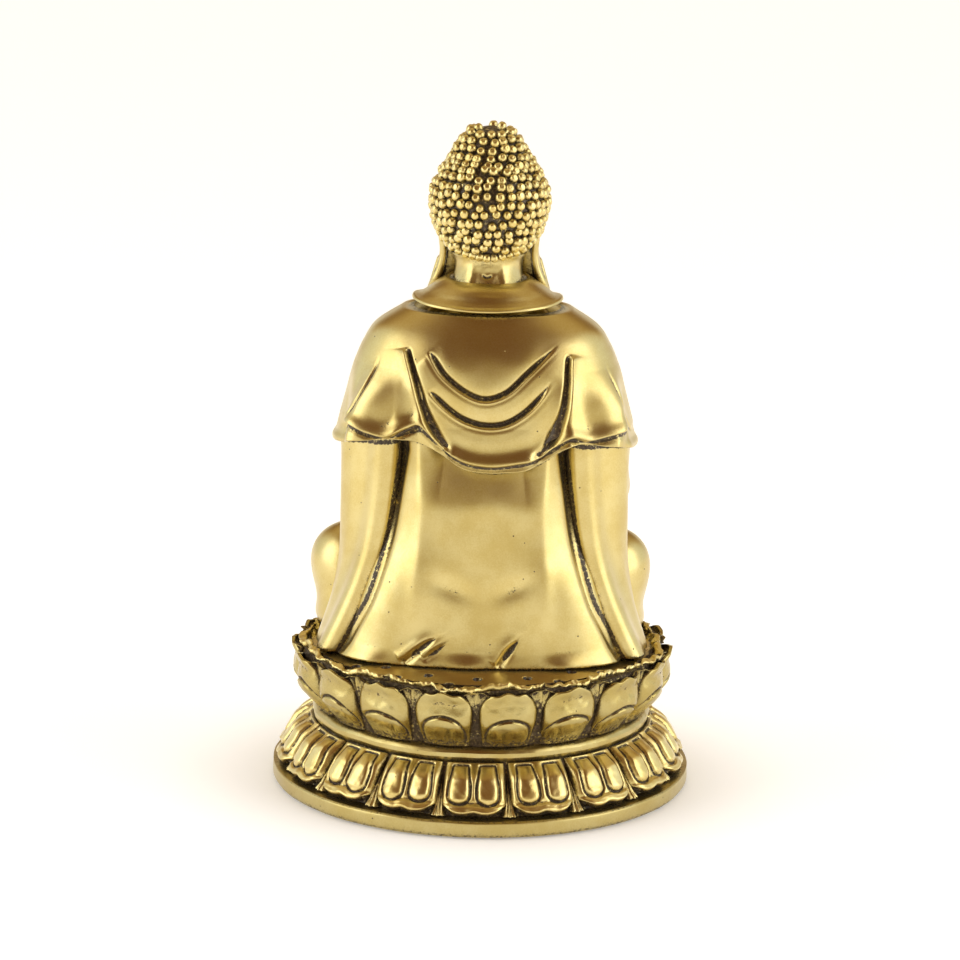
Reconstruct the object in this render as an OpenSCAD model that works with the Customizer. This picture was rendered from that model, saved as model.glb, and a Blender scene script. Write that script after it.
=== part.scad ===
// Seated buddha on a double-lotus throne, cast in brass sections.
// The figure faces -Y, +Z is up and the origin is the centre of the underside.
// One bolt from below clamps the throne; the figure stands in it on a spigot and lifts off.

/* [Throne] */
// Diameter of the plinth
base_d = 120; // [119:0.5:122]
// Height of the plinth's top face
plinth_top = 5.2; // [5:0.1:5.6]
// Lower edge of the waist band
band_bottom = 18.3; // [18:0.1:18.6]
// Upper edge of the waist band
band_top = 22.6; // [22.2:0.1:23]
// Height of the seat's top face
seat_top = 40.5; // [40.2:0.1:40.6]
// Number of petals round each lotus ring
petal_count = 18; // [14:2:22]
// Thickness of the cast walls
wall = 3; // [2.5:0.1:3.5]

/* [Figure] */
// Diameter of the spigot under the figure
spigot_d = 16; // [14:0.5:17]
// Diametral clearance of the spigot in its socket
spigot_play = 0.2; // [0.1:0.05:0.3]
// Gap between the figure's hem and the seat
seat_gap = 0.3; // [0.3:0.05:0.4]
// Height of the cape's hem at the middle of the back
cape_hem = 96.5; // [95:0.5:98]
// Width of the cape's opening in front, in degrees
cape_opening = 56; // [40:2:70]

/* [Fastenings] */
// Diameter of the bolt that clamps the throne
bolt_d = 6; // [5:0.5:7]
// Diameter of the pin that stops the figure turning
pin_d = 2.5; // [2:0.1:3]
// Thickness of the felt under the base
felt_t = 1.2; // [1:0.1:1.3]

/* [Hidden] */
$fn = 64;

brass = "#cfb35a";
pale_brass = "#e0cd85";
dark_brass = "#7d5f26";
steel = "#8d9196";
felt_green = "#2f4a3a";

round_steps = 40;
skin = 0.15;
pitch = 360 / petal_count;
fig_z = seat_top + seat_gap;

// Petals: thickness at the root, and how far the middle of a petal and of a tip swells out
petal_root = 0.5;
petal_swell = 1.9;
tip_swell = 1.3;

// Throne fastenings
plate_t = 2.6;
plate_r = base_d / 2 - 6;
plinth_z = 0.4;
bolt_head_r = bolt_d;
bolt_head_t = 2;
bolt_top = 25;
boss_z = 16;
boss_r = 9;
socket = [0, 15.8, 28];
socket_wall = 4;
flange_r = 12.7;
flange_t = 2;
pin = [10.6, 15.8, 37.5];
pin_above_seat = 4;
seat_plug_r = 47.5;
seat_lip = 0.5;
seat_t = 4;
ring_bore = 43.5;

// Sections of the figure: half width, back and front against height
body_w = [[40, 41.4], [50, 37], [60, 33.2], [70, 30.4], [80, 28], [100, 24.5], [115, 25],
    [128, 23], [136, 18], [141, 12.5]];
body_back = [[40, 32], [60, 30.4], [80, 28.6], [100, 27], [115, 26], [128, 23.3], [136, 18.5], [141, 14.5]];
body_front = [[40, -2], [67, -2], [72, -9], [90, -12], [115, -13], [128, -12], [136, -10], [141, -8.5]];
body_levels = [fig_z, 48, 56, 66, 72, 80, 90, 100, 110, 120, 128, 134, 138, 141];
cavity_levels = [124, 110, 96, 82, 74, 64, 52, fig_z];
sleeve_w = [[40, 46], [50, 43], [65, 40], [100, 39.5]];
sleeve_from = -40;
sleeve_turn = 102;
sleeve_gap = 0.9;
sleeve_levels = [fig_z, 46, 54, 64, 76, 88, 100.5];
lap_w = [[40, 46], [50, 48], [57, 48.5], [63, 45], [66, 38], [67.6, 26]];
lap_back = [[40, -2.6], [66, -2.8], [67.6, -3.6]];
lap_front = [[40, -43], [50, -44.5], [57, -42], [63, -36], [67.6, -30]];
lap_cavity_levels = [62, 56, 48, fig_z];
lap_levels = [fig_z, 45, 50, 54, 57, 60, 63, 65, 66.6, 67.6];
cape_w = [[96, 44.8], [102, 43], [109, 41], [116, 39], [123, 37], [129, 34], [134, 30.5], [138.6, 23.5]];
cape_back = [[96, 31.5], [110, 30.4], [120, 29.4], [130, 26.3], [138.6, 20.5]];
cape_front = [[96, -18], [110, -18.5], [120, -18], [130, -15.5], [138.6, -12]];
cape_top = 138.6;
collar_w = [[138.7, 23.6], [141, 20.5], [144, 16], [147, 12.6]];
collar_back = [[138.7, 22.4], [141, 21.4], [144, 18], [147, 15.4]];
collar_front = [[138.7, -13.5], [141, -12.6], [144, -11], [147, -9.8]];
collar_in_w = [[138.7, 16.4], [141, 13.2], [147, 11.4]];
collar_in_back = [[138.7, 17.6], [141, 15.2], [147, 13.8]];
collar_in_front = [[138.7, -10.4], [141, -9.2], [147, -8.6]];
collar_levels = [138.7, 141, 143, 145, 147];
neck_w = [[141, 10.6], [146, 9.8], [151, 9]];
neck_back = [[141, 13], [151, 11.4]];
neck_front = [[141, -8], [151, -7.6]];
neck_levels = [141.05, 144, 147, 150.9];
head_w = [[151, 8.8], [154, 9.8], [157, 11.8], [163, 13.4], [168, 14], [172, 12.8], [175, 9], [176.5, 4]];
head_back = [[151, 11.3], [154, 12.2], [158, 14], [165, 16], [170, 15.5], [174, 11], [176.5, 5]];
head_front = [[151, -9.5], [154, -13], [158, -15], [163, -15.6], [168, -15], [172, -12.8], [175, -8],
    [176.5, -4]];
head_levels = [151, 153, 155, 158, 161, 164, 167, 170, 172, 174, 175.4, 176.5];
hair_w = [[153, 11.2], [157, 13.7], [160, 14.9], [164, 15.9], [168, 16.6], [171, 16.2], [174, 15.2],
    [178, 12.8]];
hair_back = [[153, 13.6], [157, 15.6], [160, 16.8], [165, 17.8], [170, 17.3], [174, 15.4], [178, 13.2]];
hair_front = [[162, -16.6], [171, -14.8], [175, -13.6], [178, -12.2]];
hair_top = 178;
knob_w = [[178, 12.4], [182, 10.2], [185, 8.9], [187.7, 7], [189.2, 4.4], [190, 1.4]];
knob_levels = [178.05, 180, 182, 184, 186, 187.7, 189.2, 190];
knob_y = 0.5;

// A rounded section at height z, as points, from a table of half widths, backs and fronts
function section_point(a, z, w, back, front, grow = 0, power = 0.86) =
    let (half = lookup(z, w) + grow, b = lookup(z, back) + grow, f = lookup(z, front) - grow)
    [half * sign(cos(a)) * pow(abs(cos(a)), power),
     (b + f) / 2 + (b - f) / 2 * sign(sin(a)) * pow(abs(sin(a)), power), z];
function section(z, w, back, front, grow = 0) =
    [for (i = [0 : round_steps - 1]) section_point(360 * i / round_steps, z, w, back, front, grow)];
function ring_centre(ring) = [for (k = [0 : 2]) [for (p = ring) p[k]] * [for (p = ring) 1] / len(ring)];
function flat(lists) = [for (list = lists) each list];

// A closed solid through rings of equal length, capped at both ends
module loft(rings) {
    n = len(rings[0]);
    m = len(rings);
    points = concat(flat(rings), [ring_centre(rings[0]), ring_centre(rings[m - 1])]);
    walls = [for (j = [0 : m - 2], i = [0 : n - 1])
        let (a = j * n + i, b = j * n + (i + 1) % n) each [[a, a + n, b], [b, a + n, b + n]]];
    caps = [for (i = [0 : n - 1]) each
        [[m * n, i, (i + 1) % n], [m * n + 1, (m - 1) * n + (i + 1) % n, (m - 1) * n + i]]];
    polyhedron(points, concat(walls, caps));
}

// A closed plate between two grids of points, the outer one seen from outside
module plate_between(outer, inner) {
    m = len(outer);
    n = len(outer[0]);
    back = m * n;
    points = concat(flat(outer), flat(inner));
    skins = [for (j = [0 : m - 2], i = [0 : n - 2])
        let (a = j * n + i) each [[a, a + n, a + 1], [a + 1, a + n, a + n + 1],
            [back + a, back + a + 1, back + a + n], [back + a + 1, back + a + n + 1, back + a + n]]];
    ends = [for (j = [0 : m - 2]) let (a = j * n, b = j * n + n - 1) each
        [[a, back + a, a + n], [a + n, back + a, back + a + n],
         [b, b + n, back + b], [b + n, back + b + n, back + b]]];
    edges = [for (i = [0 : n - 2]) let (b = (m - 1) * n + i) each
        [[i, i + 1, back + i], [i + 1, back + i + 1, back + i],
         [b, back + b, b + 1], [b + 1, back + b, back + b + 1]]];
    polyhedron(points, concat(skins, ends, edges));
}

// The wall of each lotus ring as heights and radii, straight between its points
upper_wall = [[band_top, 46.4], [27, 48.4], [32, 50.6], [37, 52], [seat_top - 0.5, 52.4]];
lower_wall = [[plinth_top, 55.6], [8, 54.6], [12, 52.2], [15.5, 49.8], [band_bottom, 47.6]];

function on_ring(angle, r, z) = [r * sin(angle), r * cos(angle), z];
function petal_half(t) = 0.84 + 0.13 * sin(90 * min(1, 1.6 * t)) - 0.42 * pow(max(0, t - 0.72) / 0.28, 2);
function petal_bulge(s, t) = (1 - pow(abs(s), 4)) * sin(180 * pow(t, 0.8)) * petal_swell;

function tip_half(t) = (0.08 + 0.1 * t) * pitch;

// One petal lying on a lotus wall; lip is how far its free end stands out and over how it rises
module petal(angle, ring_wall, steps, from, to, share, lip, rise) {
    cols = 6;
    front = [for (j = [0 : steps]) let (t = j / steps, z = from + (to - from) * t) [for (i = [0 : cols])
        let (s = 2 * i / cols - 1, a = angle + s * share * petal_half(t) * pitch / 2)
        on_ring(a, lookup(z, ring_wall) + skin + petal_root + petal_bulge(s, t) + lip * t * t * t,
            z + rise * t * t * t)]];
    back = [for (j = [0 : steps]) let (t = j / steps, z = from + (to - from) * t) [for (i = [0 : cols])
        let (s = 2 * i / cols - 1, a = angle + s * share * petal_half(t) * pitch / 2)
        on_ring(a, lookup(z, ring_wall) + skin, z)]];
    if (to > from) plate_between(front, back);
    else plate_between([for (row = front) [for (i = [cols : -1 : 0]) row[i]]],
        [for (row = back) [for (i = [cols : -1 : 0]) row[i]]]);
}

// One pointed tip showing in the gap between two petals
module petal_tip(angle, ring_wall, from, to, lip, rise) {
    front = [for (t = [0, 0.5, 1]) let (z = from + (to - from) * t) [for (s = [-1, 0, 1])
        on_ring(angle + s * tip_half(t), lookup(z, ring_wall) + skin + petal_root
            + (1 - abs(s)) * tip_swell + lip * t * t, z + rise * t * t)]];
    back = [for (t = [0, 0.5, 1]) let (z = from + (to - from) * t) [for (s = [-1, 0, 1])
        on_ring(angle + s * tip_half(t), lookup(z, ring_wall) + skin, z)]];
    if (to > from) plate_between(front, back);
    else plate_between([for (row = front) [row[2], row[1], row[0]]],
        [for (row = back) [row[2], row[1], row[0]]]);
}

module ring_of(ring_wall) {
    rotate_extrude() polygon(concat([for (p = ring_wall) [p[1], p[0]]],
        [for (i = [len(ring_wall) - 1 : -1 : 0]) [ring_wall[i][1] - wall, ring_wall[i][0]]]));
}

module felt_pad() {
    color(felt_green) difference() {
        cylinder(h = felt_t, r = plate_r - 0.5);
        translate([0, 0, -1]) cylinder(h = felt_t + 2, r = bolt_head_r + 1.5);
    }
}

module bolt_head() {
    cylinder(h = bolt_head_t, r1 = bolt_head_r, r2 = bolt_d / 2);
}

module closing_plate() {
    color(dark_brass) difference() {
        translate([0, 0, felt_t]) cylinder(h = plate_t, r = plate_r - 0.2);
        translate([0, 0, felt_t]) bolt_head();
        translate([0, 0, felt_t - 1]) cylinder(h = plate_t + 2, r = bolt_d / 2);
    }
}

module tie_bolt() {
    color(steel) {
        translate([0, 0, felt_t]) bolt_head();
        translate([0, 0, felt_t + bolt_head_t]) cylinder(h = bolt_top - felt_t - bolt_head_t, r = bolt_d / 2);
    }
}

module plinth() {
    r = base_d / 2;
    ledge = felt_t + plate_t;
    color(brass) rotate_extrude() polygon([[ring_bore, ledge], [plate_r, ledge], [plate_r, plinth_z],
        [r - 0.9, plinth_z], [r, plinth_z + 0.9], [r, plinth_top - 1.1], [r - 1.1, plinth_top],
        [ring_bore, plinth_top]]);
}

module lower_lotus() color(brass) ring_of(lower_wall);

module upper_lotus() color(brass) ring_of(upper_wall);

module lower_petals() {
    color(pale_brass) for (i = [0 : petal_count - 1])
        petal(i * pitch, lower_wall, 5, band_bottom - 0.2, plinth_top + 2.6, 1, 2.2, -1.2);
}

module lower_petal_tips() {
    color(dark_brass) for (i = [0 : petal_count - 1])
        petal_tip((i + 0.5) * pitch, lower_wall, plinth_top + 3.6, plinth_top + 0.6, 1.6, 0);
}

module upper_petals() {
    color(pale_brass) for (i = [0 : petal_count - 1])
        petal((i + 0.5) * pitch, upper_wall, 5, band_top + 0.2, seat_top - 1.2, 1, 2.4, 1.4);
}

module upper_petal_tips() {
    color(dark_brass) for (i = [0 : petal_count - 1])
        petal_tip(i * pitch, upper_wall, seat_top - 3.4, seat_top - 0.6, 1.4, 1.6);
}

module waist_band() {
    mid = (band_top + band_bottom) / 2;
    color(brass) rotate_extrude() polygon([[ring_bore, band_bottom], [47.2, band_bottom], [48.6, mid - 0.9],
        [48.6, mid + 0.7], [46.6, band_top], [ring_bore, band_top]]);
}

module seat() {
    color(brass) difference() {
        union() {
            translate([0, 0, seat_top - seat_t]) cylinder(h = seat_t, r = seat_plug_r);
            translate([0, 0, seat_top - seat_lip]) cylinder(h = seat_lip, r = upper_wall[4][1] - 0.4);
            translate([0, 0, boss_z]) cylinder(h = seat_top - 1 - boss_z, r = boss_r);
            translate([0, socket[1], socket[2] - socket_wall])
                cylinder(h = seat_top - 1 - socket[2] + socket_wall, r = spigot_d / 2 + socket_wall);
        }
        translate(socket) cylinder(h = seat_top, r = (spigot_d + spigot_play) / 2);
        translate([0, 0, boss_z - 1]) cylinder(h = bolt_top + 1 - boss_z + 1, r = bolt_d / 2);
        translate(pin) cylinder(h = seat_t, r = pin_d / 2);
    }
}

module index_pin() {
    color(steel) translate(pin) cylinder(h = fig_z + pin_above_seat - pin[2], r = pin_d / 2);
}

module figure_spigot() {
    flange_z = fig_z + 1.2;
    color(steel) difference() {
        union() {
            translate([0, socket[1], socket[2] + 0.3])
                cylinder(h = flange_z + flange_t - socket[2] - 0.3, r = spigot_d / 2);
            translate([0, socket[1], flange_z]) cylinder(h = flange_t, r = flange_r);
        }
        translate([pin[0], pin[1], flange_z - 1]) cylinder(h = flange_t + 2, r = pin_d / 2 + 0.1);
    }
}

module robe_body() {
    color(brass) loft(concat([for (z = cavity_levels) section(z, body_w, body_back, body_front, -wall)],
        [for (z = body_levels) section(z, body_w, body_back, body_front)]));
}

module lap() {
    color(brass) loft(concat([for (z = lap_cavity_levels) section(z, lap_w, lap_back, lap_front, -wall)],
        [for (z = lap_levels) section(z, lap_w, lap_back, lap_front)]));
}

// The hanging sleeve on the +X side, from beside the front to the back seam
module sleeve() {
    angles = [for (i = [0 : 9]) sleeve_from + sleeve_turn * i / 9];
    outer = [for (z = sleeve_levels) [for (a = angles)
        section_point(a, z, body_w, body_back, body_front, 0.3)
            + (lookup(z, sleeve_w) - lookup(z, body_w) - 1) * pow(cos(0.9 * a), 2)
                * [cos(a), 0.35 * sin(a), 0]
            + sleeve_gap * [cos(a), sin(a), 0]]];
    inner = [for (z = sleeve_levels) [for (a = angles)
        section_point(a, z, body_w, body_back, body_front, sleeve_gap)]];
    plate_between([for (row = outer) [for (i = [9 : -1 : 0]) row[i]]],
        [for (row = inner) [for (i = [9 : -1 : 0]) row[i]]]);
}

// A limb of round sections on the +X side, from the elbow to the wrist
module forearm() {
    forearm_heading = 36;
    places = [[34, -13, 86, 5.6], [30, -16.5, 82.4, 6.8], [25, -20, 80.2, 6.2], [20.5, -23.2, 79.2, 5],
        [17.5, -25.2, 78.8, 4]];
    across = [sin(forearm_heading), -cos(forearm_heading), 0];
    up = [0, 0, 1];
    loft([for (p = places) [for (i = [0 : 15]) let (a = 360 * i / 16)
        [p[0], p[1], p[2]] + p[3] * (cos(a) * across + sin(a) * up)]]);
}

// A flat rounded form such as a folded hand or an upturned foot
module pad(centre, half) {
    loft([for (e = [-80, -45, -15, 15, 45, 80]) [for (i = [0 : 15]) let (a = 360 * i / 16)
        centre + [half[0] * cos(a) * cos(e), half[1] * sin(a) * cos(e), half[2] * sin(e)]]]);
}

module left_sleeve() color(pale_brass) sleeve();

module right_sleeve() color(pale_brass) mirror([1, 0, 0]) sleeve();

module left_forearm() color(pale_brass) forearm();

module right_forearm() color(pale_brass) mirror([1, 0, 0]) forearm();

module left_hand() color(brass) pad([-0.5, -26.5, 70.6], [13, 6.2, 2.4]);

module right_hand() color(brass) pad([0.5, -26, 75.8], [13, 6.2, 2.4]);

module left_foot() color(brass) pad([-28, -19, 70], [10, 4.6, 1.9]);

module right_foot() color(brass) pad([28, -19, 70], [10, 4.6, 1.9]);

module inner_robe() {
    levels = [74, 84, 94, 104, 114, 124, 130];
    angles = [for (i = [8 : -1 : 0]) 270 + (i / 4 - 1) * 40];
    function layer(grow) = [for (z = levels) [for (a = angles)
        section_point(a, z, body_w, body_back, body_front, grow)]];
    color(pale_brass) plate_between(layer(1.5), layer(0.6));
}

module cape() {
    first = -90 + cape_opening / 2;
    span = 360 - cape_opening;
    cols = 32;
    rows = 8;
    angles = [for (i = [cols : -1 : 0]) first + span * i / cols];
    function hem(a) = 101.5 - (101.5 - cape_hem) * pow(max(0, sin(a)), 16);
    color(brass) plate_between(
        [for (j = [0 : rows]) [for (a = angles) let (z = hem(a) + (cape_top - hem(a)) * j / rows)
            section_point(a, z, cape_w, cape_back, cape_front)]],
        [for (j = [0 : rows]) [for (a = angles) let (z = hem(a) + (cape_top - hem(a)) * j / rows)
            section_point(a, z, body_w, body_back, body_front, 2.1)]]);
}

module collar() {
    color(pale_brass) {
        angles = [for (i = [24 : -1 : 0]) -60 + 300 * i / 24];
        plate_between(
            [for (z = collar_levels) [for (a = angles)
                section_point(a, z, collar_w, collar_back, collar_front)]],
            [for (z = collar_levels) [for (a = angles)
                section_point(a, z, collar_in_w, collar_in_back, collar_in_front)]]);
    }
}

module neck() color(brass) loft([for (z = neck_levels) section(z, neck_w, neck_back, neck_front)]);

module head() color(brass) loft([for (z = head_levels) section(z, head_w, head_back, head_front)]);

// One ear on the +X side with its long lobe
module ear() {
    places = [[143, 18.2, 1.0, 1.2], [145, 17.8, 1.3, 2], [149, 16.4, 1.2, 2.3], [154, 15.1, 1.2, 2.6],
        [160, 15.3, 1.2, 3.4], [163, 15.2, 1.1, 2.8], [164.2, 15.2, 0.9, 1.2]];
    loft([for (p = places) [for (i = [0 : 15]) let (a = 360 * i / 16)
        [p[1] + p[2] * cos(a), p[3] * sin(a) - 5, p[0]]]]);
}

module left_ear() color(pale_brass) ear();

module right_ear() color(pale_brass) mirror([1, 0, 0]) ear();

module hair() {
    rows = 8;
    function line(a) = 162.5 - 9 * sin(a);
    function level(a, t) = line(a) + (hair_top - line(a)) * t;
    angles = [for (i = [0 : round_steps - 1]) 360 * i / round_steps];
    color(dark_brass) loft(concat(
        [for (j = [rows : -1 : 0]) [for (a = angles) let (z = min(level(a, j / rows), 177))
            section_point(a, z, head_w, head_back, head_front, 0.8)]],
        [for (j = [0 : rows]) [for (a = angles)
            section_point(a, level(a, j / rows), hair_w, hair_back, hair_front)]]));
}

module ushnisha() {
    angles = [for (i = [0 : round_steps - 1]) 360 * i / round_steps];
    color(dark_brass) loft([for (z = knob_levels) [for (a = angles)
        [lookup(z, knob_w) * cos(a), knob_y + lookup(z, knob_w) * sin(a), z]]]);
}

// A rounded stud facing the front
module stud(place, r) {
    translate(place) rotate([90, 0, 0]) rotate_extrude() intersection() {
        circle(r = r);
        square(r);
    }
}

module hair_jewel() color(pale_brass) stud([0, -14.6, 174.6], 1.7);

module urna() color(pale_brass) stud([0, -15.65, 166.2], 0.7);

felt_pad();
closing_plate();
tie_bolt();
plinth();
lower_lotus();
lower_petals();
lower_petal_tips();
waist_band();
upper_lotus();
upper_petals();
upper_petal_tips();
seat();
index_pin();
figure_spigot();
robe_body();
lap();
left_sleeve();
right_sleeve();
left_forearm();
right_forearm();
left_hand();
right_hand();
left_foot();
right_foot();
inner_robe();
cape();
collar();
neck();
head();
left_ear();
right_ear();
hair();
ushnisha();
hair_jewel();
urna();
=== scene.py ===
import math

import bpy
import numpy as np
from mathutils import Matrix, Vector


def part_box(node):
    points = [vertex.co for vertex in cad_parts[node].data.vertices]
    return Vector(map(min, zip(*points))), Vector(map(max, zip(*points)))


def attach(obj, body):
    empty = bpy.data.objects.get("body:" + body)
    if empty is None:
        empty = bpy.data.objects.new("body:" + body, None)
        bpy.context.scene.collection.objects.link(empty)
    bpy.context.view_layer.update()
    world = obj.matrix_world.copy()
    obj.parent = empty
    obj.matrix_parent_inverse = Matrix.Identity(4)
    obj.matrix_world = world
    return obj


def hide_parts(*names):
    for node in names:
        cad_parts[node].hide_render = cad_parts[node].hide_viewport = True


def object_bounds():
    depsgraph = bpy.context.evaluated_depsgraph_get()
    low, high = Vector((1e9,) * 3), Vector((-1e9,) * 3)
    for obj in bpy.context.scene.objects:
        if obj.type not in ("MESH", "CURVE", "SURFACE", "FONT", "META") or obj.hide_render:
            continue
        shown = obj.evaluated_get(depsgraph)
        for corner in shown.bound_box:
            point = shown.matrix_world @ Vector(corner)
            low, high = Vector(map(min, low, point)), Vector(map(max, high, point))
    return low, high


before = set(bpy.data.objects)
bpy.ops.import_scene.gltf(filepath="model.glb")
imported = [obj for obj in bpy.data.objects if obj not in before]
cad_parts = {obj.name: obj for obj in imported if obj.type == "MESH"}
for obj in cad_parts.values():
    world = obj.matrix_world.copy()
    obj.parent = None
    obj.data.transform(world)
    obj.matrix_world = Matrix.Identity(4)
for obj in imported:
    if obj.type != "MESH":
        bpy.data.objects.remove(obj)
CAD_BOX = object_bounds()

# The statue is modelled in millimetres of a statue 190 mm tall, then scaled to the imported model.
MODEL_HEIGHT = 190.0
UNIT = (CAD_BOX[1][2] - CAD_BOX[0][2]) / MODEL_HEIGHT
TAU = 2 * math.pi


def node_box(node):
    """A CAD node's lowest and highest corners, in millimetres."""
    low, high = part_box(node)
    return np.array(low) / UNIT, np.array(high) / UNIT


# Heights and radii of the CAD nodes. Z is up and +Y is the back of the statue.
PLINTH_LOW, PLINTH_TOP = (corner[2] for corner in node_box("plinth"))
PLINTH_R = node_box("plinth")[1][0]
BAND_LOW, BAND_HIGH = (corner[2] for corner in node_box("waist_band"))
UPPER_WALL_TOP = node_box("upper_lotus")[1][2]
SEAT_TOP = node_box("seat")[1][2]
HEM = node_box("robe_body")[0][2]
CAPE_TOP = node_box("cape")[1][2]

# The socket in the seat that takes the figure's spigot.
SPIGOT_LOW, SPIGOT_HIGH = node_box("figure_spigot")
SOCKET_Y = (SPIGOT_LOW[1] + SPIGOT_HIGH[1]) / 2
SOCKET_LOW = SPIGOT_LOW[2] - 0.3
SOCKET_R = 8.1

# Each ring of petals has the same number, evenly spaced.
PETALS = 18
PITCH = TAU / PETALS


# ---------------------------------------------------------------- small mathematics

def curve(*points):
    """A smooth function through (x, y) points, flat beyond its ends."""
    xs, ys = np.array(points, float).T
    slopes = np.gradient(ys, xs)

    def value(x):
        x = np.clip(x, xs[0], xs[-1])
        k = np.clip(np.searchsorted(xs, x) - 1, 0, len(xs) - 2)
        step = xs[k + 1] - xs[k]
        t = (x - xs[k]) / step
        a, b = ys[k], ys[k + 1]
        return ((1 + 2 * t) * (1 - t) ** 2 * a + t * (1 - t) ** 2 * step * slopes[k]
                + t * t * (3 - 2 * t) * b + t * t * (t - 1) * step * slopes[k + 1])
    return value


def line_through(points, count=60):
    """Points along a smooth curve through a few given points, and how far along each is, 0 to 1."""
    points = np.array(points, float)
    along = np.linspace(0, 1, len(points))
    t = np.linspace(0, 1, count)
    return np.stack([curve(*zip(along, column))(t) for column in points.T], -1), t


def ramp(x, low, high):
    """0 at low, 1 at high and beyond, with a smooth rise between; low may be the greater of the two."""
    t = np.clip((x - low) / (high - low), 0, 1)
    return t * t * (3 - 2 * t)


def bell(x, width):
    """1 where x is 0, falling smoothly away on both sides over about the width."""
    return np.exp(-(x / width) ** 2)


def waves(seed, points, size):
    """Smooth seeded noise, about -1 to 1, with features of the given size."""
    rng = np.random.default_rng(seed)
    total = np.zeros(points.shape[:-1])
    for octave in range(3):
        for _ in range(4):
            direction = rng.normal(size=points.shape[-1])
            direction *= (TAU / size) * 2 ** octave / np.linalg.norm(direction)
            total += np.sin(points @ direction + rng.uniform(0, TAU)) / 2 ** octave
    return total / 4.5


def distance_to_line(x, z, points):
    """Distance of flat points to a line, how far along it they are, and 1 on its left or -1 on its right."""
    line, along = line_through(points)
    best = np.full(x.shape, 1e9)
    place = np.zeros(x.shape)
    side = np.zeros(x.shape)
    for (ax, az), (bx, bz), t0, t1 in zip(line[:-1], line[1:], along[:-1], along[1:]):
        dx, dz = bx - ax, bz - az
        t = np.clip(((x - ax) * dx + (z - az) * dz) / (dx * dx + dz * dz), 0, 1)
        gap_x, gap_z = x - ax - t * dx, z - az - t * dz
        gap = np.hypot(gap_x, gap_z)
        nearer = gap < best
        best = np.where(nearer, gap, best)
        place = np.where(nearer, t0 + t * (t1 - t0), place)
        side = np.where(nearer, np.sign(dx * gap_z - dz * gap_x), side)
    return best, place, side


def signed_distance(x, z, points):
    """The distance again, but below zero on the line's right, and how far along it the points are."""
    gap, place, side = distance_to_line(x, z, points)
    return gap * np.where(side > 0, 1, -1), place


def carve(x, z, points, width, depth, ridge=0.0, ridge_width=2.5, start=0.25, end=0.25, floor=0.0):
    """Height of a fold line cut along a curve: a narrow groove, with a rounded ridge on its left side."""
    gap, place, side = distance_to_line(x, z, points)
    taper = (floor + (1 - floor) * ramp(place, 0, start)) * (floor + (1 - floor) * ramp(1 - place, 0, end))
    groove = -depth * bell(gap, width * (0.45 + 0.55 * taper))
    fold = ridge * np.where(side > 0, bell(gap - ridge_width * 0.8, ridge_width), bell(gap, width) * 0.3)
    return taper * (groove + fold)


# ---------------------------------------------------------------- meshes

def object_from(name, points, faces):
    """A Blender object from points in millimetres and faces of three or four corners."""
    mesh = bpy.data.meshes.new(name)
    points = np.asarray(points, float)
    corner_counts = np.concatenate([np.full(len(f), f.shape[1]) for f in faces])
    corners = np.concatenate([f.ravel() for f in faces])
    mesh.vertices.add(len(points))
    mesh.vertices.foreach_set("co", (points * UNIT).ravel())
    mesh.loops.add(len(corners))
    mesh.loops.foreach_set("vertex_index", corners.astype(np.int32))
    mesh.polygons.add(len(corner_counts))
    starts = np.concatenate([[0], np.cumsum(corner_counts)[:-1]])
    mesh.polygons.foreach_set("loop_start", starts.astype(np.int32))
    mesh.polygons.foreach_set("loop_total", corner_counts.astype(np.int32))
    mesh.update(calc_edges=True)
    mesh.validate()
    mesh.shade_smooth()
    thing = bpy.data.objects.new(name, mesh)
    bpy.context.scene.collection.objects.link(thing)
    mark_recesses(thing)
    return thing


def points_of(thing):
    """An object's points, in millimetres."""
    points = np.empty(len(thing.data.vertices) * 3)
    thing.data.vertices.foreach_get("co", points)
    return points.reshape(-1, 3) / UNIT


def neighbour_mean(a, b, count):
    """A function that gives the mean of each point's neighbours, over the edges from a to b."""
    links = np.maximum(np.bincount(a, minlength=count) + np.bincount(b, minlength=count), 1)

    def mean(points):
        sums = [np.bincount(a, points[b, k], count) + np.bincount(b, points[a, k], count) for k in range(3)]
        return np.stack(sums, -1) / links[:, None]
    return mean


def mark_recesses(thing):
    """Stores on each point how far it lies below the smoothed surface, in millimetres, as "recess"."""
    mesh = thing.data
    points = points_of(thing)
    count = len(points)
    normals = np.empty(count * 3)
    mesh.vertex_normals.foreach_get("vector", normals)
    normals = normals.reshape(-1, 3)
    edges = np.empty(len(mesh.edges) * 2, np.int32)
    mesh.edges.foreach_get("vertices", edges)
    mean = neighbour_mean(*edges.reshape(-1, 2).T, count)
    smooth = points
    recess = np.zeros(count)
    for more_rounds in (3, 9, 28):
        for _ in range(more_rounds):
            smooth = mean(smooth)
        recess = recess + np.einsum("ij,ij->i", smooth - points, normals)
    layer = mesh.attributes.new("recess", "FLOAT", "POINT")
    layer.data.foreach_set("value", recess.astype(np.float32))


def change_recess(thing, rule):
    """Sets each point's recess to what a rule makes of the recess that it has."""
    layer = thing.data.attributes["recess"].data
    recess = np.empty(len(layer), np.float32)
    layer.foreach_get("value", recess)
    layer.foreach_set("value", rule(recess).astype(np.float32))
    return thing


def stain_first(thing, count, depth):
    """Treats the first points of an object as lying in a recess of the given depth."""
    return change_recess(thing, lambda recess: np.where(np.arange(len(recess)) < count, depth, recess))


def patina_and_shade_where(thing, rule):
    """Deepens the recess of each point to what a rule gives for its x, y and z in millimetres; a deeper
    recess darkens the point as patina, and is used for painted shade too.
    """
    return change_recess(thing, lambda recess: np.maximum(recess, rule(*points_of(thing).T)))


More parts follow.
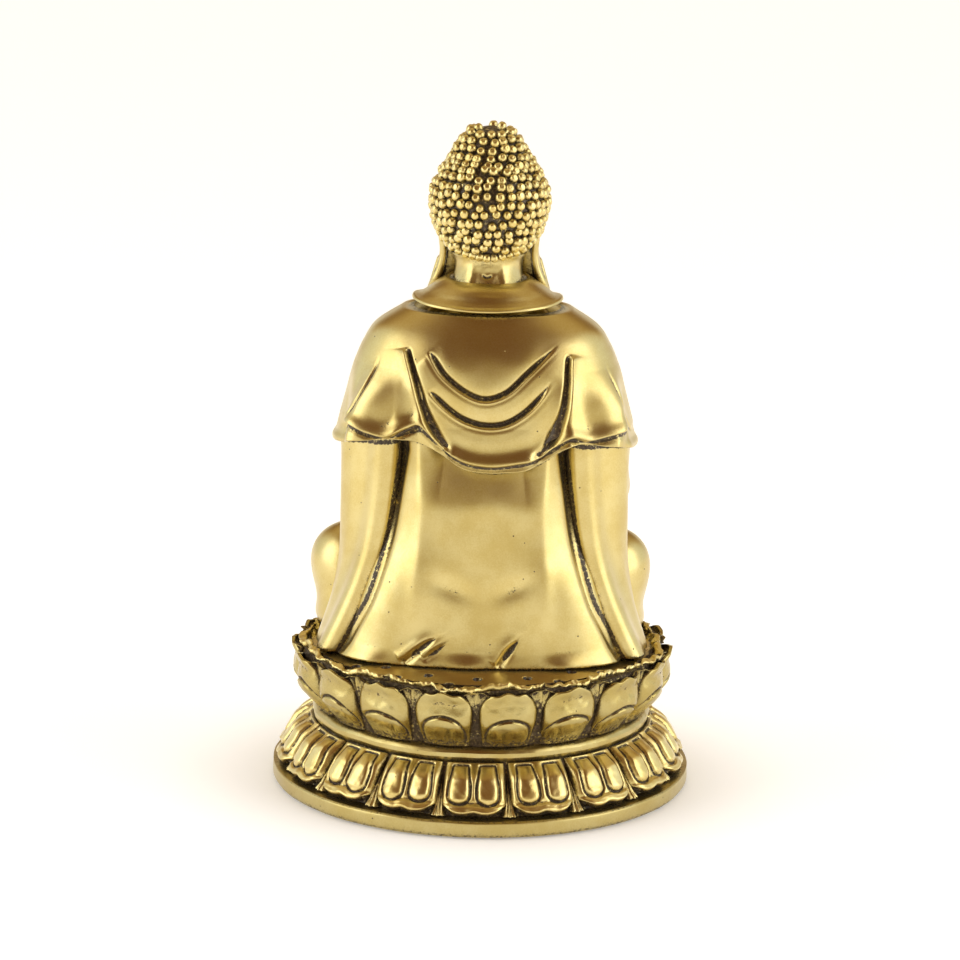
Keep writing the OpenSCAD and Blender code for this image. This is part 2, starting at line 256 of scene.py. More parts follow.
def patina_and_shade_line(thing, line, width, depth=0.8):
    """Deepens the recess behind the statue along a line of (x, z) points, which darkens it: patina along the
    seams, painted shade under the cape's hem.
    """
    nearest_x = min(abs(place[0]) for place in line) - 4 * width

    def near_line(x, y, z):
        near = (y > 4) & (np.abs(x) > nearest_x)
        deeper = np.full(len(x), -np.inf)
        deeper[near] = depth * bell(distance_to_line(x[near], z[near], line)[0], width)
        return deeper
    return patina_and_shade_where(thing, near_line)


def grid_faces(rows, cols, start=0, wrap=False, close=False, flip=False):
    """Quads over a grid stored row by row; wrap joins its last column to the first, and close its rows."""
    index = start + np.arange(rows * cols).reshape(rows, cols)
    if close:
        index = np.concatenate([index, index[:1]])
    if wrap:
        index = np.concatenate([index, index[:, :1]], 1)
    quads = np.stack([index[:-1, :-1], index[:-1, 1:], index[1:, 1:], index[1:, :-1]], -1).reshape(-1, 4)
    return quads[:, ::-1] if flip else quads


def cap_faces(ring, centre, flip=False):
    """A fan of triangles from a ring of points to its centre."""
    following = np.roll(ring, -1)
    fan = np.stack([np.full(len(ring), centre), ring, following], -1)
    return fan[:, ::-1] if flip else fan


def capped_faces(rows, cols, start=0):
    """Faces over closed rings of points and over both ends, whose two centres are stored after the rings."""
    ring = start + np.arange(cols)
    centres = start + rows * cols
    return [grid_faces(rows, cols, start, wrap=True),
            cap_faces(ring, centres, flip=True),
            cap_faces(ring + (rows - 1) * cols, centres + 1)]


def loft(name, rings):
    """A closed object through closed rings of points, capped at both ends."""
    points = np.concatenate([rings.reshape(-1, 3), rings[:1].mean(1), rings[-1:].mean(1)])
    return object_from(name, points, capped_faces(*rings.shape[:2]))


def plate_parts(outer, inner, start=0):
    """Points and quads of a closed plate between two grids, the outer one facing out."""
    rows, cols = outer.shape[:2]
    size = rows * cols
    index = start + np.arange(size).reshape(rows, cols)
    faces = [grid_faces(rows, cols, start), grid_faces(rows, cols, start + size, flip=True)]
    for near, reverse in ((index[0], True), (index[-1], False), (index[:, 0], False), (index[:, -1], True)):
        strip = np.stack([near[:-1], near[1:], near[1:] + size, near[:-1] + size], -1)
        faces.append(strip[:, ::-1] if reverse else strip)
    return np.concatenate([outer.reshape(-1, 3), inner.reshape(-1, 3)]), np.concatenate(faces)


def plates(name, pairs):
    """One object of many closed plates."""
    all_points, all_faces, start = [], [], 0
    for outer, inner in pairs:
        points, faces = plate_parts(outer, inner, start)
        all_points.append(points)
        all_faces.append(faces)
        start += len(points)
    return object_from(name, np.concatenate(all_points), [np.concatenate(all_faces)])


def push_out(points, height, wrap=False):
    """Moves a grid of points along its own normals by a height."""
    if wrap:
        padded = np.concatenate([points[:, -2:], points, points[:, :2]], 1)
        across = np.gradient(padded, axis=1)[:, 2:-2]
    else:
        across = np.gradient(points, axis=1)
    up = np.gradient(points, axis=0)
    normal = np.cross(across, up)
    normal /= np.maximum(np.linalg.norm(normal, axis=-1, keepdims=True), 1e-9)
    return points + normal * np.asarray(height)[..., None]


def section(angle, z, half, back, front, power=0.86):
    """Points of a rounded section; 0 is towards +X and a quarter turn is the back."""
    centre = (back(z) + front(z)) / 2
    depth = (back(z) - front(z)) / 2
    c, s = np.cos(angle), np.sin(angle)
    return np.stack([half(z) * np.sign(c) * np.abs(c) ** power,
                     centre + depth * np.sign(s) * np.abs(s) ** power, z + 0 * c], -1)


# ---------------------------------------------------------------- solid sculpting

class Clay:
    """A block of space holding the distance to a sculpted form, in millimetres."""

    def __init__(self, low, high, step):
        self.low, self.step = np.array(low, float), step
        counts = np.ceil((np.array(high) - self.low) / step).astype(int) + 1
        axes = [self.low[k] + step * np.arange(counts[k]) for k in range(3)]
        self.x, self.y, self.z = np.meshgrid(*axes, indexing="ij", sparse=True)
        self.form = np.full(counts, 1e3, np.float32)

    def blob(self, centre, radii, turn=0.0, tip=0.0):
        """Distance to an ellipsoid, turned about Z and tipped about its own long axis' cross line."""
        dx, dy, dz = self.x - centre[0], self.y - centre[1], self.z - centre[2]
        c, s = math.cos(turn), math.sin(turn)
        u, v = c * dx + s * dy, -s * dx + c * dy
        c, s = math.cos(tip), math.sin(tip)
        u, w = c * u + s * dz, -s * u + c * dz
        k = np.sqrt((u / radii[0]) ** 2 + (v / radii[1]) ** 2 + (w / radii[2]) ** 2)
        k2 = np.sqrt((u / radii[0] ** 2) ** 2 + (v / radii[1] ** 2) ** 2 + (w / radii[2] ** 2) ** 2)
        return k * (k - 1) / np.maximum(k2, 1e-6)

    def limb(self, a, b, ra, rb, squash=(1, 1, 1)):
        """Distance to a rod with round ends, whose radius runs from ra to rb."""
        a, b, squash = np.array(a, float), np.array(b, float), np.array(squash, float)
        d = (b - a) / squash
        px, py, pz = ((self.x - a[0]) / squash[0], (self.y - a[1]) / squash[1], (self.z - a[2]) / squash[2])
        t = np.clip((px * d[0] + py * d[1] + pz * d[2]) / (d @ d), 0, 1)
        gap = np.sqrt((px - t * d[0]) ** 2 + (py - t * d[1]) ** 2 + (pz - t * d[2]) ** 2)
        return gap - (ra + (rb - ra) * t)

    def rope(self, points, radius, squash=(1, 1, 1), count=24):
        """Distance to a rod along a smooth curve; radius is one number or one for each point."""
        radii = radius if isinstance(radius, (list, tuple)) else [radius] * len(points)
        line, _ = line_through([list(p) + [r] for p, r in zip(points, radii)], count)
        best = np.full(self.form.shape, 1e3, np.float32)
        for p, q in zip(line[:-1], line[1:]):
            reach = 4 + max(p[3], q[3])
            low = np.minimum(p[:3], q[:3]) - reach
            high = np.maximum(p[:3], q[:3]) + reach
            part = self.window(low, high)
            if part is None:
                continue
            near = self.cut(part).limb(p[:3], q[:3], p[3], q[3], squash)
            best[part] = np.minimum(best[part], near)
        return best

    def window(self, low, high):
        """Slices of the block that cover a box, or None where the box lies outside it."""
        first = np.floor((low - self.low) / self.step).astype(int)
        last = np.ceil((high - self.low) / self.step).astype(int) + 1
        first = np.maximum(first, 0)
        last = np.minimum(last, self.form.shape)
        if np.any(last <= first):
            return None
        return tuple(slice(f, l) for f, l in zip(first, last))

    def cut(self, part):
        """The part of the block inside some slices, as a block that shares its space."""
        piece = Clay.__new__(Clay)
        piece.low, piece.step = self.low, self.step
        piece.x, piece.y, piece.z = self.x[part[0]], self.y[:, part[1]], self.z[:, :, part[2]]
        piece.form = self.form[part]
        return piece

    def add(self, shape, blend=0.0):
        """Joins a shape on, with a fillet about as wide as the blend."""
        self.form = smooth_least(self.form, shape, blend)

    def take(self, shape, blend=0.0):
        """Cuts a shape away, with an edge rounded over about the blend."""
        self.form = -smooth_least(-self.form, shape, blend)

    def keep_within(self, shape):
        """Cuts away all that lies outside a shape."""
        self.form = np.maximum(self.form, shape)

    def surface(self):
        """Points and quads of the form's surface, by surface nets."""
        return surface_nets(self.form, self.low, self.step)

    def mirrored_surface(self):
        """The same for a form that was sculpted from X = 0 outwards, with its mirror image joined on."""
        form = np.concatenate([self.form[:0:-1], self.form])
        reach = (self.form.shape[0] - 1) * self.step
        return surface_nets(form, self.low - np.array([reach, 0, 0]), self.step)


def smooth_least(a, b, blend):
    """The lesser of two distances, rounded over where they are within the blend of each other."""
    if blend <= 0:
        return np.minimum(a, b)
    h = np.clip(0.5 + 0.5 * (b - a) / blend, 0, 1)
    return b + (a - b) * h - blend * h * (1 - h)


def surface_nets(form, low, step):
    """One point in each cell that the surface crosses, one quad over each edge that it crosses."""
    form = np.pad(form, 1, constant_values=1e3)
    inside = form < 0
    shape = np.array(form.shape) - 1
    total = np.zeros((3, int(np.prod(shape))))
    hits = np.zeros(int(np.prod(shape)))
    crossings = []
    for axis in range(3):
        here = [slice(None)] * 3
        there = [slice(None)] * 3
        here[axis], there[axis] = slice(None, -1), slice(1, None)
        a, b = form[tuple(here)], form[tuple(there)]
        crossed = inside[tuple(here)] != inside[tuple(there)]
        place = np.argwhere(crossed)
        va, vb = a[crossed], b[crossed]
        t = va / (va - vb)
        crossings.append((place, inside[tuple(here)][crossed]))
        point = place.astype(np.float32)
        point[:, axis] += t
        others = [k for k in range(3) if k != axis]
        for i in (0, 1):
            for j in (0, 1):
                cell = place.copy()
                cell[:, others[0]] -= i
                cell[:, others[1]] -= j
                good = np.all((cell >= 0) & (cell < shape), 1)
                flat = np.ravel_multi_index(cell[good].T, tuple(shape))
                hits += np.bincount(flat, minlength=hits.size)
                for k in range(3):
                    total[k] += np.bincount(flat, point[good, k], hits.size)
    used = hits > 0
    number = np.full(hits.shape, -1)
    number[used] = np.arange(used.sum())
    number = number.reshape(tuple(shape))
    points = (total[:, used] / hits[used]).T
    quads = []
    for axis, (place, starts_inside) in enumerate(crossings):
        u, v = [(axis + 1) % 3, (axis + 2) % 3]
        good = np.all(place[:, [u, v]] > 0, 1)
        place, starts_inside = place[good], starts_inside[good]
        corners = []
        for i, j in ((0, 0), (1, 0), (1, 1), (0, 1)):
            cell = place.copy()
            cell[:, u] -= i
            cell[:, v] -= j
            corners.append(number[tuple(cell.T)])
        quad = np.stack(corners, -1)
        quads.append(np.where(starts_inside[:, None], quad, quad[:, ::-1]))
    return low + (points - 1) * step, np.concatenate(quads)


# ---------------------------------------------------------------- materials

class Nodes:
    """A node tree, with short ways to add and join nodes."""

    def __init__(self, tree):
        self.tree = tree

    def node(self, kind, **settings):
        made = self.tree.nodes.new(kind)
        for key, value in settings.items():
            setattr(made, key, value)
        return made

    def join(self, source, socket):
        """Links an output to a socket, or sets the socket to a plain value."""
        if hasattr(source, "links"):
            self.tree.links.new(source, socket)
        else:
            socket.default_value = source

    def maths(self, operation, a, b=0.0):
        made = self.node("ShaderNodeMath", operation=operation)
        self.join(a, made.inputs[0])
        self.join(b, made.inputs[1])
        return made.outputs[0]

    def spread(self, value, low, high, to_low=0.0, to_high=1.0):
        """Takes the range from low to high smoothly to another range, and stays at its ends beyond it."""
        made = self.node("ShaderNodeMapRange", interpolation_type="SMOOTHSTEP")
        self.join(value, made.inputs["Value"])
        for socket, number in (("From Min", low), ("From Max", high), ("To Min", to_low),
                               ("To Max", to_high)):
            made.inputs[socket].default_value = number
        return made.outputs["Result"]


class Shader(Nodes):
    """A material whose textures are measured in millimetres."""

    def __init__(self, name):
        self.material = bpy.data.materials.new(name)
        self.material.use_nodes = True
        super().__init__(self.material.node_tree)
        self.surface = self.tree.nodes["Principled BSDF"]
        place = self.node("ShaderNodeTexCoord").outputs["Object"]
        millimetres = self.node("ShaderNodeVectorMath", operation="SCALE")
        self.join(place, millimetres.inputs[0])
        millimetres.inputs["Scale"].default_value = 1 / UNIT
        self.place = millimetres.outputs[0]

    def give(self, **looks):
        """Sets or links inputs of the surface, such as Base_Color, by name."""
        for name, source in looks.items():
            self.join(source, self.surface.inputs[name.replace("_", " ")])

    def noise(self, size, detail=3.0, roughness=0.55):
        """Cloudy noise whose features are about the given number of millimetres."""
        made = self.node("ShaderNodeTexNoise")
        self.join(self.place, made.inputs["Vector"])
        made.inputs["Scale"].default_value = 1 / size
        made.inputs["Detail"].default_value = detail
        made.inputs["Roughness"].default_value = roughness
        return made.outputs["Fac"]

    def pits(self, spacing, radius, share):
        """1 inside small round pits, strewn at random; share is how many of the places have one."""
        made = self.node("ShaderNodeTexVoronoi")
        self.join(self.place, made.inputs["Vector"])
        made.inputs["Scale"].default_value = 1 / spacing
        close = self.spread(made.outputs["Distance"], radius / spacing * 0.6, radius / spacing, 1.0, 0.0)
        split = self.node("ShaderNodeSeparateColor")
        self.join(made.outputs["Color"], split.inputs[0])
        chosen = self.maths("LESS_THAN", split.outputs[0], share)
        return self.maths("MULTIPLY", close, chosen)

    def mix(self, factor, a, b):
        """One colour where the factor is 0 and another where it is 1."""
        made = self.node("ShaderNodeMix", data_type="RGBA")
        self.join(factor, made.inputs[0])
        self.join(a, made.inputs[6])
        self.join(b, made.inputs[7])
        return made.outputs[2]

    def bump(self, height, distance, strength=1.0):
        """A normal for a relief whose full height is a distance in millimetres."""
        made = self.node("ShaderNodeBump")
        self.join(height, made.inputs["Height"])
        made.inputs["Distance"].default_value = distance * UNIT
        made.inputs["Strength"].default_value = strength
        return made.outputs[0]


# Linear red, green and blue.
PALE_BRASS = (0.81, 0.67, 0.28)
DEEP_BRASS = (0.71, 0.55, 0.18)
# Dark colours of the patina, which also paint shade wherever a piece's recess was deepened for shade.
DARK_PATINA_AND_SHADE = (0.028, 0.018, 0.01, 1)
BROWN_PATINA_AND_SHADE = (0.10, 0.068, 0.034, 1)
DRY_PATINA = (0.30, 0.21, 0.115, 1)


def brass(name, nook_gain=1.0, rough=0.31, pit_share=0.3, tone=1.0, lacquer=0.5):
    """Polished cast brass with brown patina left in every recess, small casting pits and a rubbed grain.

    nook_gain is how readily narrow places darken, and tone how bright the metal is. The same dark colours
    also carry painted shade wherever a piece's recess was deepened for shade, and the copies below use tone,
    and how readily their narrow places darken, as painted light and shade.
    """
    shader = Shader(name)
    clouds = shader.noise(9.0)
    grain = shader.noise(0.45, 4.0, 0.7)
    specks = shader.noise(0.9, 6.0, 0.78)
    dust = shader.noise(0.7, 5.0, 0.8)
    attribute = shader.node("ShaderNodeAttribute", attribute_name="recess")
    recess = shader.spread(attribute.outputs["Fac"], 0.05, 0.55)
    occlusion = shader.node("ShaderNodeAmbientOcclusion", samples=5)
    occlusion.inputs["Distance"].default_value = 3.3 * UNIT
    nook = shader.spread(occlusion.outputs["AO"], 0.42, 0.93, 1.0, 0.0)
    depth = shader.maths("ADD", recess, shader.maths("MULTIPLY", nook, 0.75 * nook_gain))
    depth = shader.maths("MINIMUM", depth, 0.86)
    broken = shader.maths("ADD", depth, shader.maths("MULTIPLY", shader.maths("SUBTRACT", specks, 0.5), 3.4))
    # The dark mask: patina in recesses and narrow places, and painted shade wherever a piece's recess was
    # deepened for shade.
    patina_and_shade = shader.maths("MULTIPLY", shader.spread(broken, 0.42, 0.66), shader.spread(depth, 0.08, 0.35))
    pit = shader.pits(3.1, 0.26, pit_share)
    patina_and_shade = shader.maths("MAXIMUM", patina_and_shade, shader.maths("MULTIPLY", pit, 0.92))
    pale, deep = [[tone * part for part in colour] + [1] for colour in (PALE_BRASS, DEEP_BRASS)]
    mottle = shader.maths("ADD", shader.maths("MULTIPLY", clouds, 0.55),
                          shader.maths("MULTIPLY", grain, 0.45))
    metal = shader.mix(shader.spread(mottle, 0.36, 0.64), pale, deep)
    darkened = shader.mix(shader.spread(grain, 0.3, 0.7), DARK_PATINA_AND_SHADE, BROWN_PATINA_AND_SHADE)
    darkened = shader.mix(shader.spread(dust, 0.53, 0.68), darkened, DRY_PATINA)
    uneven = shader.maths("MULTIPLY", shader.maths("SUBTRACT", clouds, 0.5), 0.12)
    roughness = shader.maths("ADD", shader.maths("ADD", uneven, rough),
                             shader.maths("MULTIPLY", patina_and_shade, 0.4))
    ripple = shader.maths("MULTIPLY", clouds, 1.5)
    relief = shader.maths("SUBTRACT", shader.maths("ADD", grain, ripple), shader.maths("MULTIPLY", pit, 4.0))
    shader.give(Base_Color=shader.mix(patina_and_shade, metal, darkened),
                Metallic=shader.spread(patina_and_shade, 0.0, 1.0, 1.0, 0.6), Roughness=roughness, Coat_Weight=lacquer,
                Coat_Roughness=0.32,
                Normal=shader.bump(relief, 0.055, 0.55))
    return shader.material


def felt():
    """Dark green pressed felt with short fibres."""
    shader = Shader("felt")
    fibres = shader.noise(0.35, 6.0, 0.75)
    shader.give(Base_Color=shader.mix(fibres, (0.02, 0.05, 0.03, 1), (0.07, 0.14, 0.09, 1)), Roughness=0.95,
                Sheen_Weight=0.4, Normal=shader.bump(fibres, 0.2))
    return shader.material


def turned_steel():
    """Plain machined steel with fine turning marks round the axis."""
    shader = Shader("turned_steel")
    rings = shader.node("ShaderNodeTexWave", wave_type="RINGS", rings_direction="Z")
    shader.join(shader.place, rings.inputs["Vector"])
    rings.inputs["Scale"].default_value = 1.6
    rings.inputs["Distortion"].default_value = 0.6
    tone = shader.mix(shader.noise(2.0), (0.42, 0.43, 0.45, 1), (0.6, 0.6, 0.61, 1))
    shader.give(Base_Color=tone, Metallic=1.0, Roughness=0.34,
                Normal=shader.bump(rings.outputs["Fac"], 0.03, 0.5))
    return shader.material


# Copies of one cast brass whose tones are painted light and shade: darker for the throne and the upper petals
# as painted shade, lighter for the lower petals, the curls and the seat as painted light; how readily their
# narrow places darken is set the same way.
BRASS = brass("cast_brass", 0.72, tone=0.84)
THRONE_BRASS_PAINTED_SHADE = brass("throne_brass_painted_shade", 0.6, tone=0.7, lacquer=0.3)
UPPER_PETAL_BRASS_PAINTED_SHADE = brass("upper_petal_brass_painted_shade", 1.45, rough=0.24, tone=0.64, lacquer=0.0)
LOWER_PETAL_BRASS_PAINTED_LIGHT = brass("lower_petal_brass_painted_light", 1.1)
CURL_BRASS_PAINTED_LIGHT = brass("curl_brass_painted_light", 0.95, rough=0.3, pit_share=0.0)
SEAT_BRASS_PAINTED_LIGHT = brass("seat_brass_painted_light", 0.4, rough=0.38, tone=1.05)
FELT = felt()
STEEL = turned_steel()


def finish_piece(piece, body, node, material):
    """Gives a piece its material, hangs it on the body that carries it and hides the CAD node that it stands
    for.
    """
    piece.data.materials.append(material)
    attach(piece, body)
    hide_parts(node)


def dress_cad_node(node, material):
    """Gives a CAD node that stays in view its material."""
    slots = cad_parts[node].data.materials
    slots.clear()
    slots.append(material)


# ---------------------------------------------------------------- throne

def ring_points(angle, radius, z):
    """Points about the Z axis; angle 0 is the back of the statue."""
    return np.stack([radius * np.sin(angle), radius * np.cos(angle), z + 0 * radius], -1)


def turned(name, profile, seed, rough, size=16.0):
    """A ring turned from a closed outline of (radius, height) points, a little wavy like a filed casting."""
    outline, _ = line_through(profile + profile[:1], 12 * len(profile))
    r, z = outline.T
    if np.sum(r[:-1] * z[1:] - r[1:] * z[:-1]) < 0:
        outline = outline[::-1]
    a, r = np.meshgrid(-np.linspace(0, TAU, 540, endpoint=False), outline[:-1, 0])
    points = ring_points(a, r, np.broadcast_to(outline[:-1, 1:2], a.shape))
    points[..., :2] *= (1 + rough * waves(seed, points, size) / np.maximum(r, 20.0))[..., None]
    points[..., 2] += rough * 0.5 * waves(seed + 1, points, size) * (points[..., 2] > PLINTH_LOW + 0.5)
    return object_from(name, points.reshape(-1, 3), [grid_faces(*a.shape, wrap=True, close=True)])


def sharp(points, rounding=0.3):
    """An outline whose corners are kept by doubling each point a little way along both its sides."""
    points = np.array(points, float)
    before, after = np.roll(points, 1, 0), np.roll(points, -1, 0)
    made = []
    for p, a, b in zip(points, before, after):
        for q in (a, b):
            step = q - p
            made.append(tuple(p + step * min(0.45, rounding / max(np.linalg.norm(step), 1e-6))))
    return made


# Radius of each lotus ring's wall at a height.
UPPER_R = curve((22.6, 46.4), (27, 48.4), (32, 50.6), (37, 51.6), (40, 51.4))
LOWER_R = curve((PLINTH_TOP, 55.8), (8, 55.0), (12, 52.8), (15.5, 50.3), (18.3, 47.6))


def make_plinth():
    """The plain disc that the statue stands on, hollow underneath."""
    r, low, top = PLINTH_R, PLINTH_LOW, PLINTH_TOP
    outline = sharp([(45, low + 2.6), (45, top - 0.1), (r - 0.9, top), (r - 0.1, top - 0.7), (r, low + 0.8),
                     (r - 0.7, low), (54.2, low), (54.0, low + 2.6)], 0.35)
    return turned("plinth_casting", outline, 11, rough=0.1)


def make_lower_ring():
    """The wall behind the down-turned petals, darkened all over as painted shade in the gaps between the
    petals.
    """
    outline = sharp([(52.5, PLINTH_TOP), (44.7, BAND_LOW), (47.5, BAND_LOW), (49.6, 15.5), (52.1, 12),
                     (54.6, 8),
                     (55.6, PLINTH_TOP)])
    ring = turned("lower_ring_casting", outline, 12, rough=0.25, size=3.0)
    # Painted shade: the whole wall is darkened, for the gaps between the petals.
    return patina_and_shade_where(ring, lambda x, y, z: 0.5 + 0 * z)


def make_band():
    """The rounded band between the two rings of petals."""
    mid = (BAND_LOW + BAND_HIGH) / 2
    outline = sharp([(43.6, BAND_LOW - 0.4), (43.6, BAND_HIGH), (46.7, BAND_HIGH), (48.3, mid + 1.2),
                     (48.7, mid),
                     (48.3, mid - 1.2), (47.4, BAND_LOW - 0.4)], 0.5)
    return turned("waist_band_casting", outline, 13, rough=0.28, size=14.0)


def make_upper_ring():
    """The wall behind the up-turned petals, darkened all over as painted shade in the gaps between the
    petals.
    """
    outline = sharp([(43.4, BAND_HIGH), (49.3, UPPER_WALL_TOP + 0.1), (51.5, UPPER_WALL_TOP + 0.1),
                     (51.7, 37), (50.6, 32),
                     (48.4, 27), (46.4, BAND_HIGH)])
    ring = turned("upper_ring_casting", outline, 14, rough=0.3, size=2.6)
    # Painted shade: the whole wall is darkened, for the gaps between the petals.
    return patina_and_shade_where(ring, lambda x, y, z: 0.55 + 0 * z)


def upper_petal(k):
    """One up-turned petal: square shouldered, with a rolled lip and an arch cut in its face."""
    rng = np.random.default_rng(100 + k)
    s, t = np.meshgrid(np.linspace(-1, 1, 65), np.linspace(0, 1, 67))
    low, top = BAND_HIGH + 0.2, UPPER_WALL_TOP - 0.2
    rise = 0.35 * np.cos(TAU * s * rng.uniform(0.8, 1.2) + rng.uniform(-1, 1)) + rng.uniform(-0.3, 0.3)
    corner = np.maximum(t - 0.6, 0) / 0.4
    share = (0.8 + 0.12 * ramp(t, 0, 0.55)) * (1 - 0.3 * corner ** 2)
    z = low + (top - low) * t - 1.6 * corner ** 2 * np.abs(s) ** 3 + rise * ramp(t, 0.6, 1)
    angle = (k + 0.5) * PITCH + s * share * PITCH / 2
    wall = UPPER_R(z)
    x, h = s * share * wall * PITCH / 2, t * (top - low)
    edge = np.clip(1 - np.abs(s) ** 2.8, 0, 1) ** 0.6
    foot = 0.2 + 0.8 * ramp(t, -0.06, 0.44)
    relief = 0.2 + (3.9 * foot - 1.7 * ramp(t, 0.42, 0.85)) * edge
    relief += 1.1 * ramp(t, 0.8, 1.0) * (0.35 + 0.65 * edge) - 0.12 * bell(t - 0.76, 0.1) * edge
    relief += 0.22 * waves(200 + k, np.stack([x, h], -1), 9.0) * edge
    wide, high = 5.9 * rng.uniform(0.92, 1.06), 9.4 * rng.uniform(0.92, 1.08)
    shift = rng.uniform(-0.4, 0.4)
    arch = [(shift - wide, 0.6), (shift - wide * 1.04, high * 0.5), (shift - wide * 0.74, high * 0.86),
            (shift, high), (shift + wide * 0.74, high * 0.86), (shift + wide * 1.04, high * 0.5),
            (shift + wide, 0.6)]
    relief += carve(x, h, arch, 0.42, 0.75, start=0.1, end=0.1, floor=0.5)
    inside = (np.hypot((x - shift) / wide, np.maximum(h - high * 0.3, 0) / (high * 0.7)) < 1.0)
    relief += 0.18 * inside * bell((x - shift) / wide, 0.8)
    strokes = 6
    for stroke in range(strokes):
        foot_x = shift + (stroke - (strokes - 1) / 2) * 1.35 + rng.uniform(-0.3, 0.3)
        line = [(foot_x, 0.7), (foot_x * 1.12, 0.7 + rng.uniform(0.9, 1.4)),
                (foot_x * 1.3, rng.uniform(2.8, 4.4))]
        relief += carve(x, h, line, 0.2, 0.28, start=0.05, end=0.8, floor=0.3)
    outer = ring_points(angle, wall + relief, z)
    free = ramp(t, 0.78, 0.95)
    inner = ring_points(angle, (1 - free) * (wall - 0.6) + free * (wall + relief - 1.0), z)
    return outer[:, ::-1], inner[:, ::-1]


def upper_tip(k):
    """A curled leaf tip in the gap between two up-turned petals."""
    rng = np.random.default_rng(300 + k)
    s, t = np.meshgrid(np.linspace(-1, 1, 21), np.linspace(0, 1, 30))
    z = 33.0 + 8.4 * t - 1.3 * ramp(t, 0.8, 1) - 1.2 * t * np.abs(s) ** 2 + rng.uniform(-0.3, 0.3)
    half = 0.3 + 4.2 * t ** 1.3 * (1 - 0.25 * ramp(t, 0.85, 1))
    angle = k * PITCH + (s * half + rng.uniform(-0.4, 0.4) * t) / 52.0
    curl = 0.2 + 0.2 * t + 1.3 * ramp(t, 0.72, 1.0)
    fold = 0.5 * bell(s, 0.25) * t + 0.45 * np.sin(7 * s + rng.uniform(0, TAU)) * t ** 3
    radius = UPPER_R(np.minimum(z, UPPER_WALL_TOP)) + curl + fold
    outer = ring_points(angle, radius, z)
    inner = ring_points(angle, radius - 0.9 - 0.5 * (1 - t), z - 0.3 * t)
    return outer[:, ::-1], inner[:, ::-1]


def lower_petal(k):
    """One down-turned petal with two long raised lobes and a flared, notched tip."""
    rng = np.random.default_rng(400 + k)
    s, t = np.meshgrid(np.linspace(-1, 1, 65), np.linspace(0, 1, 61))
    top, low = BAND_LOW - 0.15, PLINTH_TOP + 0.9
    corner = np.maximum(t - 0.7, 0) / 0.3
    share = 0.95 - 0.13 * corner ** 2.5
    notch = 0.55 * bell(s, 0.2) * ramp(t, 0.7, 1)
    z = top + (low - top) * t + 1.7 * corner ** 2 * np.abs(s) ** 4 + notch
    angle = k * PITCH + s * share * PITCH / 2
    wall = LOWER_R(z)
    x, d = s * share * wall * PITCH / 2, t * 14.6
    edge = np.clip(1 - np.abs(s) ** 6, 0, 1) ** 0.6
    relief = 0.1 + (1.3 + 1.25 * ramp(t, 0.0, 0.35)) * edge
    relief += (0.55 * ramp(t, 0.78, 0.93) + 0.45 * ramp(t, 0.9, 1)) * edge - 0.3 * bell(t - 0.8, 0.06) * edge
    for side in (-1, 1):
        place = side * (3.5 + 0.5 * d / 14) * rng.uniform(0.94, 1.06)
        length = 9.2 * rng.uniform(0.93, 1.07)
        radius = 1.9 + 0.95 * ramp(d, 0, 8)
        gap = np.hypot(x - place, np.maximum(d - length, 0)) - radius
        gap = np.where(d < 1.0, np.hypot(np.maximum(gap, 0), (1.0 - d)), gap)
        relief += 0.75 * np.sqrt(np.clip(1 - ((gap + radius) / radius) ** 2, 0, 1))
        relief -= 0.62 * bell(gap - 0.15, 0.38)
    relief += 0.2 * waves(500 + k, np.stack([x, d], -1), 8.0) * edge
    outer = ring_points(angle, wall + relief, z + 0.35 * relief)
    free = ramp(t, 0.86, 1.0)
    inner = ring_points(angle, (1 - free) * (wall - 0.5) + free * (wall + relief - 1.2), z - 0.25)
    return outer, inner


def lower_tip(k):
    """The small ridged point between two down-turned petals."""
    rng = np.random.default_rng(600 + k)
    s, t = np.meshgrid(np.linspace(-1, 1, 25), np.linspace(0, 1, 34))
    z = 14.0 + (PLINTH_TOP + 0.5 - 14.0) * t
    half = 0.15 + 2.1 * t ** 1.5
    wall = LOWER_R(z)
    angle = (k + 0.5) * PITCH + s * half / wall
    relief = 0.2 + 1.5 * t + 0.8 * ramp(t, 0.75, 1) - 1.0 * np.abs(s) ** 2
    relief += 0.22 * np.cos(TAU * 1.5 * s) * ramp(t, 0.2, 0.5) + rng.uniform(-0.15, 0.15)
    outer = ring_points(angle, wall + relief, z)
    inner = ring_points(angle, wall - 0.7, z)
    return outer, inner


